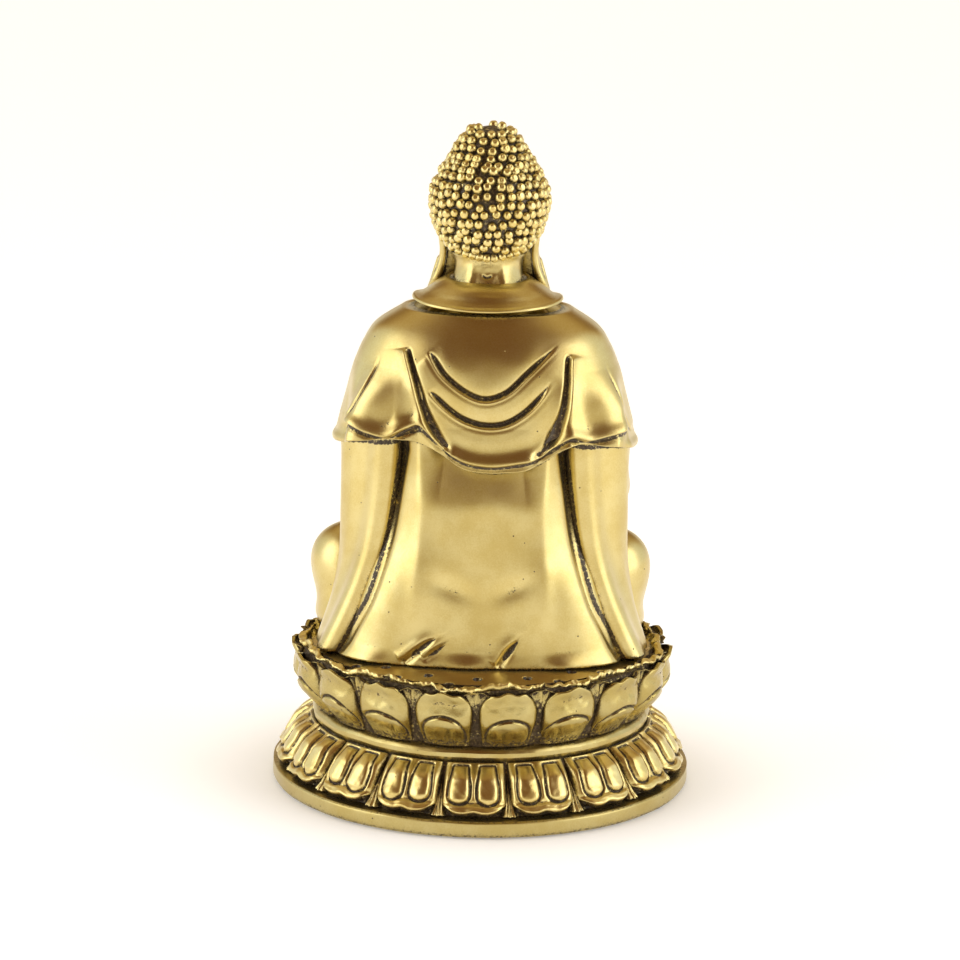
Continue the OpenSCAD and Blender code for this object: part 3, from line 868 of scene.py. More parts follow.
def make_seat():
    """The seed pod: a top with seed holes and a wavy raised rim, and the socket for the figure's spigot."""
    columns, under_figure = 900, 14
    rings = np.concatenate([np.linspace(SOCKET_R, 38.0, under_figure), np.linspace(38.4, 53.2, 56)])
    a, r = np.meshgrid(-np.linspace(0, TAU, columns, endpoint=False), rings)
    flat = ring_points(a, r, 0 * r)[..., :2]
    z = SEAT_TOP - 0.1 + 0.12 * waves(21, flat, 11.0) * ramp(r, 38, 42)
    hole_count, outer_row, inner_row = 36, 45.0, 40.4
    holes = [ring_points(TAU * k / hole_count, outer_row if k % 2 else inner_row,
                         0) for k in range(hole_count)]
    for hole in holes:
        gap = np.hypot(flat[..., 0] - hole[0], flat[..., 1] - hole[1])
        z += 0.1 * bell(gap - 1.7, 0.4) - 1.3 * ramp(gap, 1.35, 0.9)
    z -= 1.0 * ramp(r, 36, 50)
    reach = (0.9 * np.sin(9 * a + 0.8) + 0.6 * np.sin(5 * a + 2.0)
             + 0.5 * np.sin(18 * a) + 0.35 * np.sin(41 * a + 1.0))
    lip = ramp(r, 47.5, 52.6)
    r = r + reach * ramp(r, 45.5, 52.0) - 1.8 * lip
    z += ((1.3 + 0.6 * waves(22, flat, 4.5)) * lip ** 2
          + 0.5 * np.sin(9 * a + 2.2) * lip + 0.3 * np.sin(29 * a) * lip)
    z += 0.9 * bell(r - 50.4, 1.1) * lip
    r = r + 0.6 * waves(23, flat, 3.6) * lip
    top = ring_points(a, r, z)
    under = ring_points(a[::-1], np.clip(r[::-1] - 0.8, SOCKET_R + 1.2, 52.6),
                        np.minimum(z[::-1], SEAT_TOP) - 1.3)
    shift = np.linspace(SOCKET_Y, 0, under_figure)[:, None]
    top[:under_figure, :, 1] += shift
    under[-under_figure:, :, 1] += shift[::-1]
    bore, tube = top[:1].copy(), under[-1:].copy()
    bore[..., 2], tube[..., 2] = SOCKET_LOW, SOCKET_LOW - 2.0
    pod = loft("seed_pod", np.concatenate([bore, top, under, tube])[::-1])

    # Painted shade: the seed holes are darkened inside, and the middle of the top a little, under the
    # figure's hem.
    def holes_and_hem_shade(x, y, z):
        gap = np.min([np.hypot(x - hole[0], y - hole[1]) for hole in holes], axis=0)
        return 1.2 * ramp(gap, 1.5, 1.0) + 0.2 * ramp(np.hypot(x, y), 38.5, 36.0)
    return patina_and_shade_where(pod, holes_and_hem_shade)


def make_throne():
    for node, make, material in (("plinth", make_plinth, THRONE_BRASS_PAINTED_SHADE),
                                 ("lower_lotus", make_lower_ring, THRONE_BRASS_PAINTED_SHADE),
                                 ("waist_band", make_band, THRONE_BRASS_PAINTED_SHADE),
                                 ("upper_lotus", make_upper_ring, UPPER_PETAL_BRASS_PAINTED_SHADE),
                                 ("seat", make_seat, SEAT_BRASS_PAINTED_LIGHT)):
        finish_piece(make(), "throne", node, material)
    for node, petal, material in (("upper_petals", upper_petal, UPPER_PETAL_BRASS_PAINTED_SHADE),
                                  ("upper_petal_tips", upper_tip, UPPER_PETAL_BRASS_PAINTED_SHADE),
                                  ("lower_petals", lower_petal, LOWER_PETAL_BRASS_PAINTED_LIGHT),
                                  ("lower_petal_tips", lower_tip, LOWER_PETAL_BRASS_PAINTED_LIGHT)):
        ring = plates(node + "_cast", [petal(k) for k in range(PETALS)])
        if node == "upper_petals":
            # Painted shade: the petals darken towards their feet by the band.
            patina_and_shade_where(ring, lambda x, y, z: 0.3 * ramp(z, 30.0, 23.5))
        if node == "upper_petal_tips":
            # Painted shade: the tips darken low down, where they sit between the petals.
            patina_and_shade_where(ring, lambda x, y, z: 0.34 * ramp(z, 40.5, 35.0))
        finish_piece(ring, "throne", node, material)
    for node, material in (("felt_pad", FELT), ("closing_plate", THRONE_BRASS_PAINTED_SHADE), ("tie_bolt", STEEL),
                           ("index_pin", STEEL)):
        dress_cad_node(node, material)


# ---------------------------------------------------------------- studio

def make_floor():
    """A plain white sweep that glows like a light table, with a painted contact shadow: its glow is dimmed
    near the statue.
    """
    size = 8.0
    mesh = bpy.data.meshes.new("floor")
    mesh.from_pydata([(-size, -size, 0), (size, -size, 0), (size, size, 0), (-size, size, 0)], [],
                     [(0, 1, 2, 3)])
    floor = bpy.data.objects.new("floor", mesh)
    floor.location.z = CAD_BOX[0][2]
    bpy.context.scene.collection.objects.link(floor)
    shader = Shader("white_floor")
    # Painted contact shadow: the glow is dimmed where ambient occlusion finds the statue close by.
    contact = shader.node("ShaderNodeAmbientOcclusion", samples=6)
    contact.inputs["Distance"].default_value = 0.05
    glow_with_painted_shadow = shader.spread(contact.outputs["AO"], 0.5, 0.98, 0.22, 0.6)
    shader.give(Base_Color=(0.86, 0.86, 0.86, 1), Roughness=0.8, Specular_IOR_Level=0.1,
                Emission_Color=(1, 1, 1, 1),
                Emission_Strength=glow_with_painted_shadow)
    floor.data.materials.append(shader.material)


# How bright and warm the studio is, from its dark parts to its lights.
STUDIO_TONES = ((0.0, (0.16, 0.06, 0.012)), (0.35, (0.54, 0.34, 0.10)), (0.7, (0.76, 0.65, 0.45)),
                (1.0, (0.96, 1.0, 1.04)))


def make_world():
    """A white studio: bright at both sides and along the horizon, dark above, with a dim light overhead."""
    world = bpy.data.worlds.new("studio")
    bpy.context.scene.world = world
    world.use_nodes = True
    sky = Nodes(world.node_tree)
    split = sky.node("ShaderNodeSeparateXYZ")
    sky.join(sky.node("ShaderNodeTexCoord").outputs["Generated"], split.inputs[0])
    across = sky.maths("ABSOLUTE", split.outputs["X"])
    height = split.outputs["Z"]
    side = sky.spread(across, 0.44, 0.76)
    horizon = sky.spread(height, 0.2, 0.38, 0.8, 0.0)
    toward = sky.maths("SUBTRACT", sky.maths("MULTIPLY", height, 0.91),
                       sky.maths("MULTIPLY", split.outputs["Y"], 0.42))
    overhead = sky.spread(toward, 0.74, 0.94, 0.0, 0.62)
    light = sky.maths("MAXIMUM", sky.maths("MAXIMUM", side, horizon), overhead)
    tones = sky.node("ShaderNodeValToRGB")
    sky.join(light, tones.inputs[0])
    stops = tones.color_ramp.elements
    while len(stops) < len(STUDIO_TONES):
        stops.new(0.5)
    for stop, (place, colour) in zip(stops, STUDIO_TONES):
        stop.position = place
        stop.color = (*colour, 1)
    sky.join(tones.outputs["Color"], sky.tree.nodes["Background"].inputs["Color"])


def add_softbox(name, side):
    """A soft lamp behind the statue, at the side given by the sign of X, turned towards the statue."""
    place, target = Vector((1.3 * side, 0.5, 0.7)), Vector((0, 0, 0.1))
    lamp = bpy.data.lights.new(name, "AREA")
    lamp.shape = "RECTANGLE"
    lamp.size, lamp.size_y = 1.1, 1.4
    lamp.energy = 7.0
    thing = bpy.data.objects.new(name, lamp)
    thing.location = place
    thing.rotation_euler = (target - place).to_track_quat("-Z", "Y").to_euler()
    bpy.context.scene.collection.objects.link(thing)


def level_direction(heading):
    """A level direction, from its angle to +X."""
    return Vector((math.cos(heading), math.sin(heading), 0))


def make_camera():
    """A long lens about a metre away, from behind and a little above."""
    distance, elevation, turn, roll = 1.030, math.radians(12.84), math.radians(1.5), math.radians(1.0)
    focal_pixels, frame_pixels, sensor = 3619.0, 960.0, 36.0
    aim_height, drop, shift = 0.097, -0.0096, -0.0014
    lens = bpy.data.cameras.new("camera")
    lens.sensor_width = sensor
    lens.lens = focal_pixels * sensor / frame_pixels
    camera = bpy.data.objects.new("camera", lens)
    heading = math.pi / 2 + turn
    away = level_direction(heading) * math.cos(elevation) + Vector((0, 0, math.sin(elevation)))
    aim = Vector((0, 0, CAD_BOX[0][2] + aim_height))
    camera.location = aim + away * distance
    centre = aim + Vector((0, 0, drop)) + level_direction(heading + math.pi / 2) * shift
    camera.rotation_euler = (centre - camera.location).to_track_quat("-Z", "Y").to_euler()
    camera.rotation_euler.rotate_axis("Z", roll)
    bpy.context.scene.collection.objects.link(camera)
    bpy.context.scene.camera = camera


def make_studio():
    make_floor()
    make_world()
    add_softbox("left_softbox", 1)
    add_softbox("right_softbox", -1)
    make_camera()
    bpy.context.scene.view_settings.view_transform = "Standard"


# ---------------------------------------------------------------- robe and cape

# Half the width, the back and the front of body, cape and collar, each over its height.
BODY_W = curve((40, 41.4), (50, 37.0), (60, 33.2), (70, 30.4), (80, 28), (100, 24.5), (115, 25), (128, 23),
               (136, 18), (141, 12.5))
BODY_BACK = curve((40, 32), (60, 30.4), (80, 28.6), (100, 27), (115, 26), (128, 23.3), (136, 18.5),
                  (141, 14.5))
BODY_FRONT = curve((40, -2), (67, -2), (72, -9), (90, -12), (115, -13), (128, -12), (136, -10), (141, -8.5))
CAPE_W = curve((96, 44.4), (102, 42.6), (109, 40.9), (116, 39.1), (123, 37.2), (129, 34.7), (134, 31.2),
               (CAPE_TOP, 24.0))
CAPE_BACK = curve((96, 31.5), (110, 30.4), (120, 29.4), (130, 26.3), (CAPE_TOP, 20.5))
CAPE_FRONT = curve((96, -18), (110, -18.5), (120, -18), (130, -15.5), (CAPE_TOP, -12))
COLLAR_W = curve((138.7, 23.4), (141, 20.6), (144, 16.6), (146.2, 13.0), (147, 11.4))
COLLAR_BACK = curve((138.7, 22.2), (141, 21.0), (144, 18.6), (146.2, 15.8), (147, 13.8))
COLLAR_FRONT = curve((138.7, -13.5), (141, -12.6), (144, -11.6), (147, -10.4))

# The seam between robe and sleeve, as distances from the middle and heights.
SEAM = ((22.3, 102), (24, 91), (25.9, 78), (27.9, 69.5), (31.6, 58), (34.6, 52), (38.6, 44), (40.2, 41))


def seam_line(side, outwards=0.0):
    """The seam on the side given by the sign of X, moved outwards a little."""
    return [(side * (across + outwards), height) for across, height in SEAM]


def make_robe():
    """The robe's body: a bell of cloth, flat behind, with seams beside the sleeves and a creased hem."""
    columns, rows = 680, 280
    angles, heights = np.meshgrid(np.linspace(0, TAU, columns, endpoint=False), np.linspace(HEM, 141, rows))
    points = section(angles, heights, BODY_W, BODY_BACK, BODY_FRONT)
    x, y, z = points[..., 0], points[..., 1], points[..., 2]
    behind = ramp(y, 0, 8)
    relief = 0.13 * waves(31, points, 34.0)
    for side in (-1, 1):
        relief += behind * carve(x, z, seam_line(side), 1.25, 1.6, start=0.02, end=0.1, floor=0.7)
        relief += behind * 0.55 * bell(x - side * (17.6 - 0.03 * (z - 60)), 2.8) * ramp(z, 44, 62)
    above = z - 86.0 - 0.5 * np.sin(0.3 * x + 2.4)
    slope = 0.27 * (np.sqrt(above ** 2 + 4.0) + above) / 2
    relief -= behind * slope * ramp(18.5 - np.abs(x), 0, 6.5)
    relief -= behind * 0.3 * bell(x / 12.5, 1) * ramp(z, 46, 60) * (1 - ramp(z, 80, 95))
    for centre_x, centre_z, lean in ((7.7, 62.6, 0.35), (-9.0, 62.8, -0.45)):
        u, v = x - centre_x, z - centre_z
        along, across = u + lean * v, v - lean * u
        relief -= behind * 0.62 * np.exp(-(along / 5.6) ** 2 - (across / 2.8) ** 2)
    for crease, depth in (([(11.4, 49.4), (15.4, 46.4), (21.6, 41.2)], 1.15),
                          ([(8.2, 48.4), (12.2, 45.2), (15.6, 42.8)], 0.6),
                          ([(-11.6, 49.6), (-8.6, 46.0), (-5.4, 41.2)], 1.15)):
        relief += behind * carve(x, z, crease, 1.15, depth, ridge=0.7, ridge_width=1.8, start=0.6, end=0.02,
                                 floor=0.1)
    hem = 0.8 * np.sin(0.21 * x + 0.6) + 0.5 * np.sin(0.47 * x)
    relief += ramp(45.5 - z, 0, 4.5) * (0.7 + 0.5 * hem) * behind
    shaped = push_out(points, relief, wrap=True)
    rim = shaped[:1].copy()
    rim[..., :2] -= np.sign(rim[..., :2]) * 0.7
    robe = loft("robe", np.concatenate([rim + np.array([0, 0, 0.05]), shaped]))
    for side in (-1, 1):
        patina_and_shade_line(robe, seam_line(side, 0.3), 0.6)
    # Painted shade: a dark line on the robe just under the cape's hem.
    under_cape_shade = [(x, float(HEM_LOWER(x)) - 0.9) for x in np.linspace(-24, 24, 17)]
    return patina_and_shade_line(robe, under_cape_shade, 0.9, 0.6)


def line_height(points):
    """Height of a line across the back at a given X, from its points from left to right."""
    xs, zs = np.array(sorted(points), float).T
    smooth = curve(*zip(xs, zs))
    return lambda x: smooth(np.asarray(x, float))


# Heights of the cape's lower edge, and of the lip of cloth above it, across the back.
HEM_LOWER = line_height([(-46, 101.2), (-41, 101.4), (-34, 103.2), (-27, 104.6), (-23, 103.6), (-18, 100.6),
                         (-12.2, 97.7), (-6, 96.9), (0, 96.8), (4.7, 97.6), (12.7, 102.4), (19, 104.6),
                         (26, 104.9),
                         (34, 103.2), (41, 101.4), (46, 101.2)])
HEM_LIP = line_height([(-46, 104.5), (-38.2, 107), (-33, 106.4), (-28, 105.6), (-23.4, 106.6), (-20, 104.6),
                       (-16.6, 101.6), (-9, 99.4), (-0.8, 98.7), (5, 99.8), (9.2, 102), (12.4, 104.7),
                       (15, 107.4),
                       (17.6, 109.4), (20.6, 108.4), (25.8, 105.6), (30.5, 106.2), (34.7, 107.8), (40, 107.6),
                       (46, 104.5)])


def cape_relief(x, y, z):
    """Folds of the cape: two swags below the shoulders, deep folds beside them and a curling hem."""
    behind = ramp(y, -2, 8)
    relief = 0.0 * x
    upper = [(15.6, 129.6), (14.2, 128.0), (10.8, 123.3), (5, 119), (-0.5, 117.2), (-6.3, 119.1),
             (-11.8, 124.1),
             (-16, 128.0), (-20.4, 131.8)]
    lower = [(15.2, 119.2), (13.8, 117.9), (9.3, 113.9), (4.9, 111.3), (-0.7, 109.9), (-6.4, 110.6),
             (-11.9, 113.9),
             (-16, 118.4), (-18.8, 122.6)]
    for line in (upper, lower):
        gap, place, side = distance_to_line(x, z, line)
        taper = ramp(place, 0, 0.2) * ramp(1 - place, 0, 0.22)
        below, above = np.where(side > 0, gap, 0), np.where(side > 0, 0, gap)
        relief += taper * behind * (-1.25 * bell(gap, 0.3 + 0.35 * taper)
                                    + 0.3 * bell(below - 0.95, 0.35) * (side > 0)
                                    - 0.45 * bell(above, 2.0) * (side <= 0)
                                    + 0.3 * ramp(below, 0.8, 2.7) * ramp(9.0 - below, 0, 5.0))
    for line, sign in (([(21.6, 130.2), (21.1, 128.0), (19, 121.4), (16.7, 113.8), (13.4, 107.2),
                         (8.4, 101.2)], 1.0),
                       ([(-23.4, 129.2), (-23.2, 126.6), (-23, 119.7), (-21.7, 111.6), (-18.2, 103.8),
                         (-13.8, 99.8)], -1.0)):
        signed, place = signed_distance(x, z, line)
        outer = signed * sign
        taper = ramp(place, 0, 0.2) * ramp(1 - place, 0.0, 0.1)
        broad = 0.5 + 0.75 * ramp(place, 0.2, 0.75)
        bank = ramp(outer, -0.1, 0.9) * np.exp(-np.maximum(outer - 0.9, 0) / 2.0)
        relief += behind * taper * (-1.5 * bell(outer + 0.35 * broad, broad) + 1.2 * bank)
    for line, sign in (([(29.0, 127.6), (30.4, 122), (32.2, 116.4), (35.6, 109.4), (38.4, 105.2)], 1.0),
                       ([(-33.0, 126.6), (-34.6, 120), (-36, 114.8), (-38.6, 109.2), (-41, 105.4)], -1.0)):
        signed, place = signed_distance(x, z, line)
        outer = signed * sign
        taper = ramp(place, 0, 0.35) * ramp(1 - place, 0, 0.1)
        bank = ramp(outer, -0.1, 0.7) * bell(np.maximum(outer, 0), 3.0)
        relief += behind * taper * (-0.4 * bell(outer, 0.35) + 0.35 * bank)
    fall = ramp(127 - z, 0, 14)
    for side, ridge in ((1, 26.9), (-1, 29.6)):
        across = side * x - ridge - 0.28 * (131.7 - z)
        relief += behind * 2.5 * fall * ramp(across, -8.5, 0.4) * ramp(4.5 - across, 0, 4.3)
        flap = ramp(side * x, 18.0, 24.0) * ramp(38.5 - side * x, 0, 3.5)
        relief += behind * 0.15 * flap * np.clip(124 - z, 0, 19)
    relief += behind * 0.07 * np.clip(109 - z, 0, 9) * ramp(15.5 - np.abs(x), 0, 4)
    edge = z - HEM_LIP(x)
    strength = ramp(np.abs(x), 39.5, 35.5) * behind
    deep = 0.75 + 1.1 * bell(np.abs(x) - 27, 9)
    relief += strength * 1.25 * bell(np.maximum(edge - 0.4, 0), 2.3) * ramp(edge, -0.35, 0.25)
    relief -= strength * deep * ramp(-edge, -0.15, 0.55) * (1 - 0.35 * ramp(-edge, 0.8, 2.8))
    outer_edge = z - HEM_LOWER(x)
    relief += (1 - strength) * behind * 0.6 * bell(outer_edge - 0.9, 1.2)
    return relief


def make_cape():
    """The cape over the shoulders, open in front, with its folds, thick enough to reach towards the body."""
    columns, rows = 620, 156
    opening = math.radians(28)
    angles, t = np.meshgrid(np.linspace(-math.pi / 2 + opening, 1.5 * math.pi - opening, columns),
                            np.linspace(0, 1, rows))
    rough = section(angles, 102.0 + 0 * t, CAPE_W, CAPE_BACK, CAPE_FRONT)
    back_share = ramp(rough[..., 1], -4, 4)
    low = back_share * HEM_LOWER(rough[..., 0]) + (1 - back_share) * (101.4 + 0.8 * np.sin(11 * angles))
    z = low + (CAPE_TOP - low) * t
    points = section(angles, z, CAPE_W, CAPE_BACK, CAPE_FRONT)
    x, y = points[..., 0], points[..., 1]
    front = 1 - ramp(y, -4, 6)
    relief = 0.15 * waves(41, points, 24.0) * ramp(138 - z, 0, 8) + cape_relief(x, y, z)
    drape = ramp(134 - z, 0, 26)
    relief += front * drape * (1.2 * np.sin(11 * angles + 0.06 * z) + 0.5 * np.sin(23 * angles + 1))
    relief += front * 0.9 * bell(z - low - 0.9, 1.0)
    edge = np.minimum(angles - angles[0, 0], angles[0, -1] - angles) * 24
    relief += 0.9 * bell(edge - 0.8, 1.1) - 0.4 * bell(edge - 3.2, 0.8)
    outer = push_out(points, relief)
    body = section(angles, z, BODY_W, BODY_BACK, BODY_FRONT)
    outward = body[..., :2] / np.maximum(np.linalg.norm(body[..., :2], axis=-1, keepdims=True), 1)
    body[..., :2] += outward * 0.8
    thick = outer[..., :2] - body[..., :2]
    depth = np.maximum(np.linalg.norm(thick, axis=-1, keepdims=True), 1e-6)
    inner = outer.copy()
    inner[..., :2] -= thick / depth * np.clip(depth * 0.75, 0.8, 3.4)
    inner[..., 2] += 0.25
    return plates("cape_cloth", [(outer, inner)])


def make_collar():
    """The turned-down collar: a shallow dish whose rolled lower lip ends in a point at each shoulder."""
    columns, rows = 560, 60
    angles, t = np.meshgrid(np.linspace(-math.pi / 3, 4 * math.pi / 3, columns), np.linspace(0, 1, rows))
    low = 140.1 + 0.7 * np.abs(np.cos(angles)) ** 3 - 0.3 * bell(np.cos(angles), 0.35)
    z = low + (146.8 - low) * t
    points = section(angles, z, COLLAR_W, COLLAR_BACK, COLLAR_FRONT, power=0.93)
    tips = np.abs(np.cos(angles)) ** 10 * (np.sin(angles) > -0.5)
    relief = (0.42 * bell(z - low - 0.45, 0.5) - 0.25 * bell(z - low - 2.6, 1.2)
              + 0.1 * waves(51, points, 14.0))
    relief += tips * 0.6 * bell(z - low - 0.4, 0.7)
    outer = push_out(points, relief)
    inner = outer.copy()
    centre = np.array([0, 3.0])
    toward = outer[..., :2] - centre
    distance = np.maximum(np.linalg.norm(toward, axis=-1, keepdims=True), 3)
    inner[..., :2] = centre + toward * (1 - 2.2 / distance)
    inner[..., 2] -= 0.6 * t
    return plates("collar_cloth", [(outer, inner)])


def make_inner_robe():
    """The under-robe across the chest, with slanting folds and a turned edge."""
    columns, rows = 300, 240
    angles, z = np.meshgrid(np.radians(np.linspace(226, 314, columns)), np.linspace(70, 139, rows))
    points = section(angles, z, BODY_W, BODY_BACK, BODY_FRONT)
    x = points[..., 0]
    relief = 1.0 + 0.3 * waves(61, points, 14.0)
    border = [(13, 138), (9, 128), (2, 117), (-6, 107), (-15, 99)]
    signed, _ = signed_distance(x, z, border)
    relief += 0.9 * ramp(signed, -0.3, 0.3) + 0.5 * bell(signed - 0.9, 0.8)
    for k in range(7):
        fold = [(15 - 1.2 * k, 127 - 8 * k), (4, 110 - 7.5 * k), (-7, 101 - 6.5 * k), (-17, 97 - 6 * k)]
        relief += carve(x, z, fold, 0.8, 0.8, ridge=0.7, ridge_width=1.8)
    relief -= 0.8 * ramp(z, 132, 139) * bell(x, 7)
    outer = push_out(points, relief)
    inner = push_out(points, 0 * z + 0.1)
    return plates("under_robe", [(outer, inner)])


def smoothed(points, quads):
    """Points eased towards their neighbours and back, which takes the grain out of a sculpted surface."""
    a = np.concatenate([quads[:, k] for k in range(4)])
    b = np.concatenate([quads[:, (k + 1) % 4] for k in range(4)])
    mean = neighbour_mean(a, b, len(points))
    for share in (0.6, -0.55, 0.6, -0.55):
        points = points + share * (mean(points) - points)
    return points


def cast_pair(clay, name, mirrored_name):
    """A sculpted piece for the +X side and its mirror image."""
    points, quads = clay.surface()
    points = smoothed(points, quads)
    return (object_from(name, points, [quads]),
            object_from(mirrored_name, points * np.array([-1, 1, 1]), [quads[:, ::-1]]))


def make_sleeves():
    """A sleeve hangs in long folds from the upper arm and the forearm down to the seat and the lap."""
    clay = Clay((12, -34, HEM - 2), (51, 26, 107), 0.42)
    clay.add(clay.rope([(30.8, 3.4, 106), (31.0, 4.0, 84), (31.8, 4.6, 66), (34.2, 4.8, 52), (38.0, 4.4, 37)],
                       [9.8, 9.5, 9.0, 9.4, 10.4]))
    clay.add(clay.rope([(27.0, 14.0, 106), (28.0, 14.0, 88), (30.2, 14.4, 72), (33.6, 14.6, 60),
                        (38.0, 14.6, 49),
                        (43.4, 14.2, 37)], [4.2, 4.0, 3.9, 4.0, 4.2, 4.6]), 4.5)
    clay.add(clay.rope([(37.4, 5.4, 98), (37.6, 4.6, 80), (38.2, 3.0, 66), (40.6, 1.4, 55)],
                       [2.2, 2.4, 2.4, 1.6]), 2.6)
    clay.add(clay.limb((33, 1, 103), (33.2, -5.5, 85.5), 7.9, 7.7), 2.5)
    clay.add(clay.limb((33.2, -5.5, 85.5), (20.2, -21.3, 79.4), 7.5, 5.9), 2.5)
    for k in range(12):
        t = k / 11
        swing = 0.8 * math.sin(1.9 * k)
        top = (34.6 - 12.6 * t, -5.5 - 14.4 * t, 82 - 4 * t)
        middle = (35.4 - 12.6 * t + 0.5 * swing, -7.4 - 13.6 * t + swing, 74.0)
        foot = (36.6 - 13.0 * t + 0.5 * swing, -8.6 - 13.0 * t + swing, 65.0)
        clay.add(clay.rope([top, middle, foot, (foot[0], foot[1] + 2, 56)], [3.4, 2.6, 2.6, 2.4]), 1.4)
    clay.take(clay.limb((21.5, -20, 79.2), (12, -31, 75.6), 3.4, 5.0), 0.8)
    for k, lean in enumerate((-2.0, 0.6, 3.2)):
        crease = [(26 + 3.2 * k, -22 + 5.6 * k, 84 + lean), (29.5 + 2.8 * k, -15 + 5 * k, 86 + lean),
                  (31.5 + 2.6 * k, -11 + 5 * k, 79)]
        clay.take(clay.rope(crease, [0.3, 0.7, 0.3]), 0.8)
    clay.keep_within(HEM - clay.z)
    clay.keep_within(clay.z - 104)
    pair = cast_pair(clay, "left_sleeve_cloth", "right_sleeve_cloth")
    for sleeve, side in zip(pair, (1, -1)):
        patina_and_shade_line(sleeve, seam_line(side, 0.3), 0.6)
        # Painted shade on the sleeve just under the cape's hem.
        patina_and_shade_line(sleeve, [(side * 24, 102.2), (side * 32, 101.4), (side * 42, 100.2)], 0.8, 0.6)
    return pair


def make_forearms():
    """The wrists that come out of the sleeves."""
    clay = Clay((8, -34, 68), (26, -14, 86), 0.3)
    clay.add(clay.limb((24, -18.5, 80), (15.6, -26.2, 77.2), 4.0, 2.9, squash=(1, 1, 0.9)))
    clay.add(clay.limb((16.4, -25.6, 77.4), (11.8, -27.4, 76.2), 2.9, 3.1), 1.5)
    return cast_pair(clay, "left_wrist", "right_wrist")


def make_lap():
    """Crossed legs under the robe, with folds that run round the knees and a fan of cloth in front."""
    clay = Clay((0, -48, HEM - 2), (51, 4, 71), 0.45)
    clay.add(clay.blob((0, -17, 47.5), (41, 21, 12.5)))
    clay.add(clay.limb((11, -8, 56.5), (36, -15.5, 56.6), 11.0, 10.6), 3.5)
    clay.add(clay.blob((35.6, -15, 54.4), (12.8, 13.6, 12.6)), 3.0)
    clay.add(clay.blob((33.6, -13, 46), (13.4, 15, 10.5)), 3.0)
    clay.add(clay.blob((37.2, -14.4, 60.4), (12.0, 11.6, 10.6)), 3.0)
    clay.add(clay.limb((37, -21.5, 52), (6, -33.6, 49.5), 10.2, 8.2), 2.5)
    clay.add(clay.limb((31, -20, 57), (3, -28, 58.5), 8.4, 7.6), 3.0)
    clay.add(clay.blob((30, -16, 44), (17.6, 17.6, 6.5)), 3.0)
    for k in range(6):
        spread = k - 0.2
        clay.add(clay.rope([(0.8 + 0.4 * spread, -31, 57), (1.0 + 1.4 * spread, -39.2, 50),
                            (1.2 + 3.1 * spread, -42.2 + 0.16 * spread * spread, 43.6),
                            (1.4 + 3.4 * spread, -43 + 0.2 * spread * spread, 38)], [1.0, 1.5, 1.9, 1.9]),
                 0.8)
    for k in range(5):
        drop = 3.6 * k
        fold = [(5 + 2 * k, -36.6 + 0.3 * k, 57.5 - drop), (18, -35.2 - 0.3 * k, 55.2 - drop),
                (32, -30.4 - 0.6 * k, 56.6 - drop), (45.0 - 0.4 * k, -20.5, 60.0 - drop)]
        clay.take(clay.rope(fold, [0.4, 1.0, 1.0, 0.4]), 1.6)
    for k in range(4):
        fold = [(12 + 5 * k, -10 + 0.6 * k, 67.4 - 0.2 * k), (20 + 5 * k, -17, 67.0 - 0.8 * k),
                (25 + 5.4 * k, -24.5 + 0.9 * k, 64.6 - 1.2 * k)]
        clay.take(clay.rope(fold, [0.3, 0.8, 0.3]), 1.2)
    clay.keep_within(HEM - clay.z)
    clay.keep_within(clay.y + 1.4)
    points, quads = clay.mirrored_surface()
    points = smoothed(points, quads)
    points[:, 0] *= 1 + 0.026 * np.tanh(points[:, 0] / 12)
    return object_from("crossed_legs", points, [quads])


def make_feet():
    """An upturned sole on each thigh, with its toes."""
    clay = Clay((12, -30, 62), (44, -8, 78), 0.26)
    clay.add(clay.blob((20.5, -22.2, 67.6), (4.6, 3.9, 3.2)))
    clay.add(clay.limb((20.5, -22, 67.8), (31, -18, 68.6), 3.0, 3.4, squash=(1, 1.1, 0.8)), 2.0)
    clay.add(clay.blob((31.2, -17.9, 69.2), (4.4, 4.7, 2.5)), 1.5)
    for k in range(5):
        reach = (36.8, 37.2, 36.8, 36.2, 35.4)[k]
        y = -13.9 - 2.05 * k
        clay.add(clay.limb((33, y + 0.4, 69.4), (reach, y, 70.3), 1.1, 1.25 - 0.12 * k), 0.5)
    clay.take(clay.blob((26.5, -18.2, 71.6), (4.6, 1.9, 1.3)), 1.2)
    return cast_pair(clay, "right_sole", "left_sole")


def make_hand(name, side, height, thumb_reach):
    """A hand lying palm up across the lap; side is the side its wrist comes from."""
    clay = Clay((-18, -36, height - 6), (18, -17, height + 14), 0.26)
    wrist = 13.5 * side
    clay.add(clay.limb((wrist, -26.6, height + 1.2), (5.5 * side, -26.6, height), 2.9, 3.6,
                       squash=(1, 1.25, 0.8)))
    clay.add(clay.blob((3.8 * side, -26.4, height - 0.2), (6.6, 5.3, 2.5)), 1.5)
    for k in range(4):
        y = -22.6 - 2.5 * k
        tip = -(9.4 - 0.9 * abs(k - 1.4)) * side
        bend = (tip * 0.35, y, height + 0.2 + 0.25 * k)
        clay.add(clay.rope([(0.6 * side, y, height), bend, (tip, y + 0.5, height + 1.2 + 0.3 * k)],
                           [1.5, 1.4, 1.05]),
                 0.45)
    clay.take(clay.blob((2.4 * side, -26.4, height + 3.4), (4.6, 3.2, 1.7)), 1.4)
    clay.add(clay.rope([(8.2 * side, -29.0, height + 1.0), (6.4 * side, -30.0, height + 3.2),
                        (3.6 * side, -29.6, thumb_reach - 0.8), (0.75 * side, -29.2, thumb_reach)],
                       [2.0, 1.8, 1.45, 1.2]), 0.9)
    points, quads = clay.surface()
    return object_from(name, smoothed(points, quads), [quads])


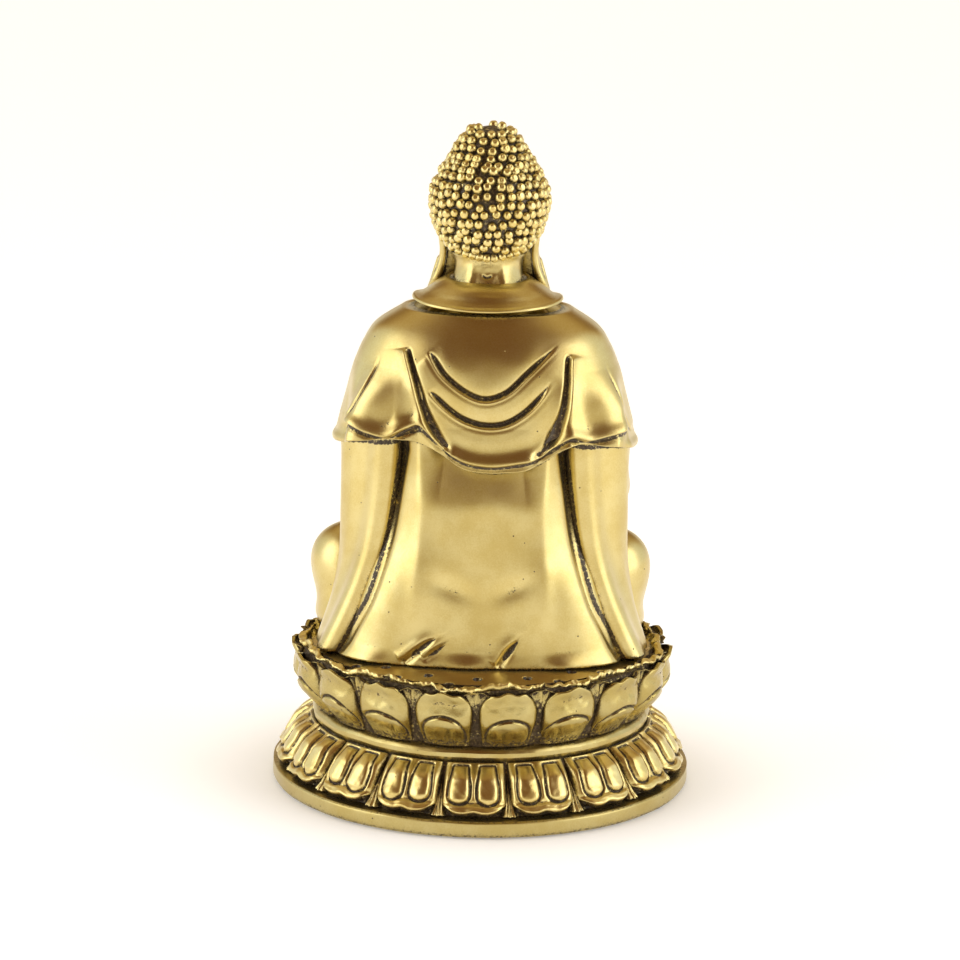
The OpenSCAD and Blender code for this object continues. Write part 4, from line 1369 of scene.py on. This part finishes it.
def make_hands():
    """The left hand lies lowest, with the right one in it and their thumbs meeting."""
    return make_hand("left_palm", 1, 71.8, 79.8), make_hand("right_palm", -1, 75.0, 79.8)


# ---------------------------------------------------------------- head

NECK_W = curve((141, 10.8), (144, 10.1), (147, 9.7), (151, 9.5), (154, 10.6))
NECK_BACK = curve((141, 17.0), (145, 14.1), (149, 11.8), (152, 11.0), (154, 11.6))
NECK_FRONT = curve((141, -8), (146, -8.4), (151, -9.4), (154, -8))


def make_neck():
    """The neck, with three soft creases in front and the spine's hollow behind."""
    columns, rows = 260, 70
    angles, z = np.meshgrid(np.linspace(0, TAU, columns, endpoint=False), np.linspace(140.6, 153.6, rows))
    points = section(angles, z, NECK_W, NECK_BACK, NECK_FRONT, power=0.95)
    x, behind = points[..., 0], ramp(points[..., 1], 2, 6)
    relief = 0.1 * waves(71, points, 6.0)
    spread = 4.4 + 0.25 * (150 - z)
    relief += behind * (-0.3 * ramp(spread - np.abs(x), 0.2, 1.8) * ramp(151 - z, 0, 2)
                        + 0.2 * bell(np.abs(x) - spread, 1.6))
    relief += behind * carve(x, z, [(-1.6, 148.8), (0.2, 148.2), (1.8, 149.0)], 0.3, 0.45)
    for level in (143.2, 145.8, 148.4):
        relief -= (1 - behind) * 0.55 * bell(z - level + 0.02 * x * x, 0.45)
    return loft("neck_cast", push_out(points, relief, wrap=True))


def make_head():
    """The face, calm and downcast, with long level brows and half-closed eyes."""
    clay = Clay((0, -20, 147.5), (16.5, 17, 180), 0.26)
    clay.add(clay.blob((0, 0.6, 166), (13.9, 14.9, 12.4)))
    clay.add(clay.blob((0, -3.0, 160.4), (11.9, 11.4, 10.4)), 4.0)
    clay.add(clay.blob((0, -4.6, 167.6), (11.6, 10.2, 7.6)), 3.0)
    clay.add(clay.blob((6.2, -8.8, 158.2), (4.4, 4.5, 4.6)), 3.0)
    clay.add(clay.blob((0, -10.4, 156.2), (4.8, 4.7, 3.9)), 2.6)
    clay.add(clay.blob((0, -11.0, 152.9), (3.4, 3.0, 2.5)), 2.4)
    clay.take(clay.blob((5.1, -15.9, 162.5), (3.7, 2.1, 1.9)), 1.6)
    clay.add(clay.blob((5.0, -12.0, 161.8), (3.1, 2.1, 2.0)), 0.45)
    clay.take(clay.rope([(2.2, -14.0, 161.3), (4.9, -14.6, 160.75), (8.0, -12.6, 161.5)], [0.1, 0.3, 0.12]),
              0.25)
    clay.add(clay.rope([(2.3, -13.7, 160.9), (5.0, -13.95, 160.0), (7.8, -12.3, 161.0)], 0.4), 0.5)
    clay.add(clay.rope([(1.5, -15.0, 163.9), (4.8, -14.5, 165.5), (9.2, -12.0, 164.3)], [0.5, 0.65, 0.4]),
             0.9)
    clay.add(clay.limb((0, -14.5, 164.2), (0, -16.7, 158.9), 0.75, 1.25), 1.1)
    clay.add(clay.blob((0, -16.7, 158.5), (1.5, 1.5, 1.2)), 0.6)
    clay.add(clay.blob((1.65, -15.5, 158.1), (1.05, 1.3, 0.95)), 0.5)
    clay.take(clay.blob((0.85, -16.6, 157.2), (0.5, 0.6, 0.35)), 0.3)
    clay.take(clay.limb((0, -15.7, 157.1), (0, -15.6, 156.5), 0.4, 0.45), 0.5)
    clay.add(clay.rope([(0, -15.0, 156.0), (1.7, -14.9, 156.3), (3.9, -13.5, 155.6)], [0.62, 0.72, 0.25]),
             0.45)
    clay.add(clay.rope([(0, -14.9, 154.6), (1.6, -14.6, 154.7), (3.3, -13.5, 155.2)], [0.85, 0.75, 0.3]),
             0.45)
    clay.take(clay.rope([(0, -15.8, 155.35), (1.9, -15.5, 155.45), (4.3, -13.7, 155.7)], [0.25, 0.25, 0.15]),
              0.2)
    clay.take(clay.blob((0, -14.6, 153.3), (1.9, 0.6, 0.5)), 0.9)
    clay.add(clay.limb((0, 2, 150), (0, -1, 156), 9.2, 9.6), 2.5)
    points, quads = clay.mirrored_surface()
    return object_from("head_cast", smoothed(points, quads), [quads])


def make_ears():
    """Long ears with a rolled rim, a hollow and a lobe that reaches the collar."""
    clay = Clay((8.5, -12, 139.5), (21.5, 4.5, 168), 0.26)
    clay.add(clay.rope([(12.9, -3.2, 161), (12.9, -4.0, 155), (13.6, -4.6, 149), (15.0, -4.8, 143.6)],
                       [2.0, 1.6, 1.5, 1.8], squash=(0.62, 1.5, 1)))
    clay.add(clay.rope([(12.4, -6.6, 156.4), (12.8, -6.8, 162.4), (13.2, -3.8, 164.6), (13.4, -0.9, 162.0),
                        (13.1, -0.6, 157), (12.9, -1.0, 152.4), (13.7, -1.2, 148.2), (15.3, -1.8, 144.2),
                        (16.2, -4.2, 141.8), (15.6, -6.8, 144.6), (14.2, -6.9, 149.8)],
                       [0.9, 1.0, 1.1, 1.2, 1.1, 1.0, 1.05, 1.2, 1.3, 0.9, 0.7], count=60), 0.8)
    clay.add(clay.rope([(10.8, -7.4, 155), (11.2, -7.8, 149), (12.4, -8.0, 141.4)], [1.3, 1.5, 1.9],
                       squash=(2.2, 0.8, 1)), 1.2)
    clay.take(clay.rope([(14.3, -4.2, 162.2), (14.3, -3.4, 157.4), (14.6, -4.0, 153.4)], [1.0, 1.2, 0.6],
                        squash=(0.7, 1, 1)), 0.5)
    clay.take(clay.rope([(15.9, -4.6, 147.6), (17.2, -4.7, 144.4)], [0.7, 0.9], squash=(0.8, 1, 1)), 0.5)
    clay.take(clay.rope([(11.6, -9.7, 153.6), (12.4, -9.7, 148.6), (13.2, -9.7, 143.6)], [0.8, 1.3, 1.3],
                        squash=(0.9, 1.3, 1)), 0.5)
    return cast_pair(clay, "left_ear_cast", "right_ear_cast")


SCALP_W = curve((152, 8.8), (154, 10.4), (157, 12.8), (160.3, 13.9), (163.8, 14.9), (167.5, 15.6),
                (171, 15.3),
                (173.7, 14.3), (176.5, 12.7), (179.2, 11.0), (182.3, 9.1), (185, 7.7), (187.2, 5.6),
                (188.6, 3.0),
                (189.0, 1.0))
SCALP_BACK = curve((152, 12.0), (154, 13.0), (157, 14.8), (160.3, 15.9), (165, 16.8), (170, 16.5),
                   (174, 14.8),
                   (176.5, 13.3), (179.2, 11.4), (182.3, 9.6), (185, 8.2), (187.2, 6.1), (188.6, 3.5),
                   (189.0, 1.5))
SCALP_FRONT = curve((152, -14.6), (166, -15.6), (171, -14.4), (174, -13.0), (176.5, -11.7), (179.2, -10.2),
                    (182.3, -8.3), (185, -6.9), (187.2, -5.0), (188.6, -2.4), (189.0, -0.5))
KNOB_Z = 178.0
CURL_PITCH = 2.82


def hairline(angle):
    """Height of the hair's lower edge at an angle round the head."""
    return 162.3 - 8.3 * np.sin(angle) + 0.5 * np.sin(angle) ** 4 * (np.sin(angle) > 0)


def scalp_frame(angle, z):
    """A point of the scalp with its outward, sideways and upward directions."""
    def at(a, h):
        return section(np.array(a), np.array(h), SCALP_W, SCALP_BACK, SCALP_FRONT, power=0.95)
    here = at(angle, z)
    across = at(angle + 0.02, z) - at(angle - 0.02, z)
    up = at(angle, min(z + 0.15, 188.95)) - at(angle, z - 0.15)
    across /= np.linalg.norm(across)
    out = np.cross(across, up)
    out /= np.linalg.norm(out)
    return here, out, across, np.cross(out, across)


def curl(place, size, height, turn):
    """The rings and the top of a snail-shell curl: a rounded bead with a faint winding on it."""
    here, out, across, up = place
    profile = np.array([(0.96, -0.5), (1.02, 0.0), (1.0, 0.3), (0.9, 0.58), (0.73, 0.8), (0.53, 0.94),
                        (0.33, 0.99),
                        (0.15, 0.96)])
    sides = 16
    a, r = np.meshgrid(np.linspace(0, TAU, sides, endpoint=False), profile[:, 0] * size)
    h = np.broadcast_to(profile[:, 1:2] * height, a.shape).copy()
    h += 0.05 * height * np.sin(a + turn + 3.2 * r / size) * (r < 0.95 * size) * (r > 0.2 * size)
    around = np.cos(a)[..., None] * across + np.sin(a)[..., None] * up
    points = here + r[..., None] * around + h[..., None] * out
    return points, here + 0.95 * height * out


def curls(places, seed, start):
    """Points and faces of a closed curl at each place; start is the number of their first point."""
    rng = np.random.default_rng(seed)
    all_points, all_faces = [], []
    for angle, z in places:
        spot = scalp_frame(angle, z)
        rings, top = curl(spot, rng.uniform(1.28, 1.55), rng.uniform(1.45, 1.95), rng.uniform(0, TAU))
        foot = spot[0] - 0.8 * spot[1]
        all_points.append(np.concatenate([rings.reshape(-1, 3), [foot, top]]))
        all_faces += capped_faces(*rings.shape[:2], start)
        start += len(all_points[-1])
    return np.concatenate(all_points), all_faces


def curled_cap(name, shell, ends, places, seed, depth):
    """A closed cap of scalp through rings of points, stained to a depth, with a curl at each place."""
    scalp_count = shell.shape[0] * shell.shape[1] + len(ends)
    curl_points, curl_faces = curls(places, seed, scalp_count)
    points = np.concatenate([shell.reshape(-1, 3), ends, curl_points])
    return stain_first(object_from(name, points, capped_faces(*shell.shape[:2]) + curl_faces), scalp_count,
                       depth)


def curl_places(low_z, high_z, rng):
    """Staggered rows of places over the scalp, above the hairline."""
    levels = [low_z]
    while levels[-1] < high_z:
        h = levels[-1]
        slope = (SCALP_BACK(h + 0.5) - SCALP_BACK(h - 0.5))
        levels.append(h + 2.45 / math.hypot(1, slope))
    made = []
    for row, level in enumerate(levels[:-1]):
        ring = math.pi * (SCALP_W(level) + (SCALP_BACK(level) - SCALP_FRONT(level)) / 2)
        count = max(5, round(ring / CURL_PITCH))
        for k in range(count):
            angle = TAU * (k + 0.5 * (row % 2)) / count + rng.uniform(-0.5, 0.5) / max(SCALP_W(level), 3)
            z = level + rng.uniform(-0.5, 0.5)
            if z > hairline(angle) + 0.9:
                made.append((angle, z))
    return made


def hairline_places(rng):
    """Places close together along the hairline."""
    made, angle = [], 0.0
    while angle < TAU - 0.08:
        made.append((angle, float(hairline(angle)) - 0.2 + rng.uniform(-0.15, 0.15)))
        angle += rng.uniform(0.92, 1.06) * 2.6 / float(np.hypot(15.0, 8.9 * math.cos(angle)))
    return made


def make_hair():
    """The cap of hair up to the knot, with a row of curls along its edge."""
    rng = np.random.default_rng(81)
    a, t = np.meshgrid(np.linspace(0, TAU, 240, endpoint=False), np.linspace(0, 1, 60))
    z = hairline(a) - 1.1 + (KNOB_Z - hairline(a) + 1.1) * t
    shell = section(a, z, SCALP_W, SCALP_BACK, SCALP_FRONT, power=0.95)
    under = shell[:1] * np.array([0.9, 0.9, 1]) + np.array([0, 0, 0.3])
    places = hairline_places(rng) + curl_places(154.8, KNOB_Z, rng)
    ends = [[0, 0, 168.0], [0, 0, KNOB_Z]]
    return curled_cap("hair_curls", np.concatenate([under, shell]), ends, places, 82, 0.4)


def make_ushnisha():
    """The knot of hair on the crown, with three curls on its very top."""
    rng = np.random.default_rng(91)
    levels = np.concatenate([np.linspace(KNOB_Z + 0.05, 188, 36), [188.5, 188.8, 188.98]])
    a, z = np.meshgrid(np.linspace(0, TAU, 160, endpoint=False), levels)
    shell = section(a, z, SCALP_W, SCALP_BACK, SCALP_FRONT, power=0.95)
    places = curl_places(KNOB_Z + 0.9, 188.0, rng) + [(0.6, 188.3), (2.6, 188.5), (4.6, 188.3)]
    ends = [[0, 0, KNOB_Z + 0.1], [0, 0.5, 189.05]]
    return curled_cap("ushnisha_curls", shell, ends, places, 92, 0.5)


def make_stud(name, node, ridges):
    """A low rounded stud on the front, with a fluted edge."""
    low, high = node_box(node)
    centre, radius = (low + high) / 2, (high[0] - low[0]) / 2
    centre[1] = high[1]
    a, t = np.meshgrid(np.linspace(0, TAU, 48, endpoint=False), np.linspace(-0.5, 1.35, 16))
    flute = 1 + 0.05 * np.cos(ridges * a) * np.cos(np.clip(t, 0, 2))
    r = radius * np.cos(np.clip(t, 0, 2)) * flute
    y = centre[1] - radius * np.where(t < 0, t, np.sin(np.clip(t, 0, 2)))
    points = np.stack([centre[0] + r * np.cos(a), y, centre[2] + r * np.sin(a)], -1)
    return loft(name, points)


def make_figure():
    for nodes, make in ((["robe_body"], make_robe), (["cape"], make_cape), (["collar"], make_collar),
                        (["inner_robe"], make_inner_robe), (["left_sleeve", "right_sleeve"], make_sleeves),
                        (["left_forearm", "right_forearm"], make_forearms), (["lap"], make_lap),
                        (["right_foot", "left_foot"], make_feet), (["left_hand", "right_hand"], make_hands),
                        (["neck"], make_neck), (["head"], make_head), (["left_ear", "right_ear"], make_ears)):
        made = make()
        for node, piece in zip(nodes, made if len(nodes) > 1 else [made]):
            finish_piece(piece, "figure", node, BRASS)
    finish_piece(make_hair(), "figure", "hair", CURL_BRASS_PAINTED_LIGHT)
    finish_piece(make_ushnisha(), "figure", "ushnisha", CURL_BRASS_PAINTED_LIGHT)
    finish_piece(make_stud("forehead_jewel", "hair_jewel", 8), "figure", "hair_jewel", BRASS)
    finish_piece(make_stud("brow_mark", "urna", 0), "figure", "urna", BRASS)
    dress_cad_node("figure_spigot", STEEL)


make_studio()
make_throne()
make_figure()
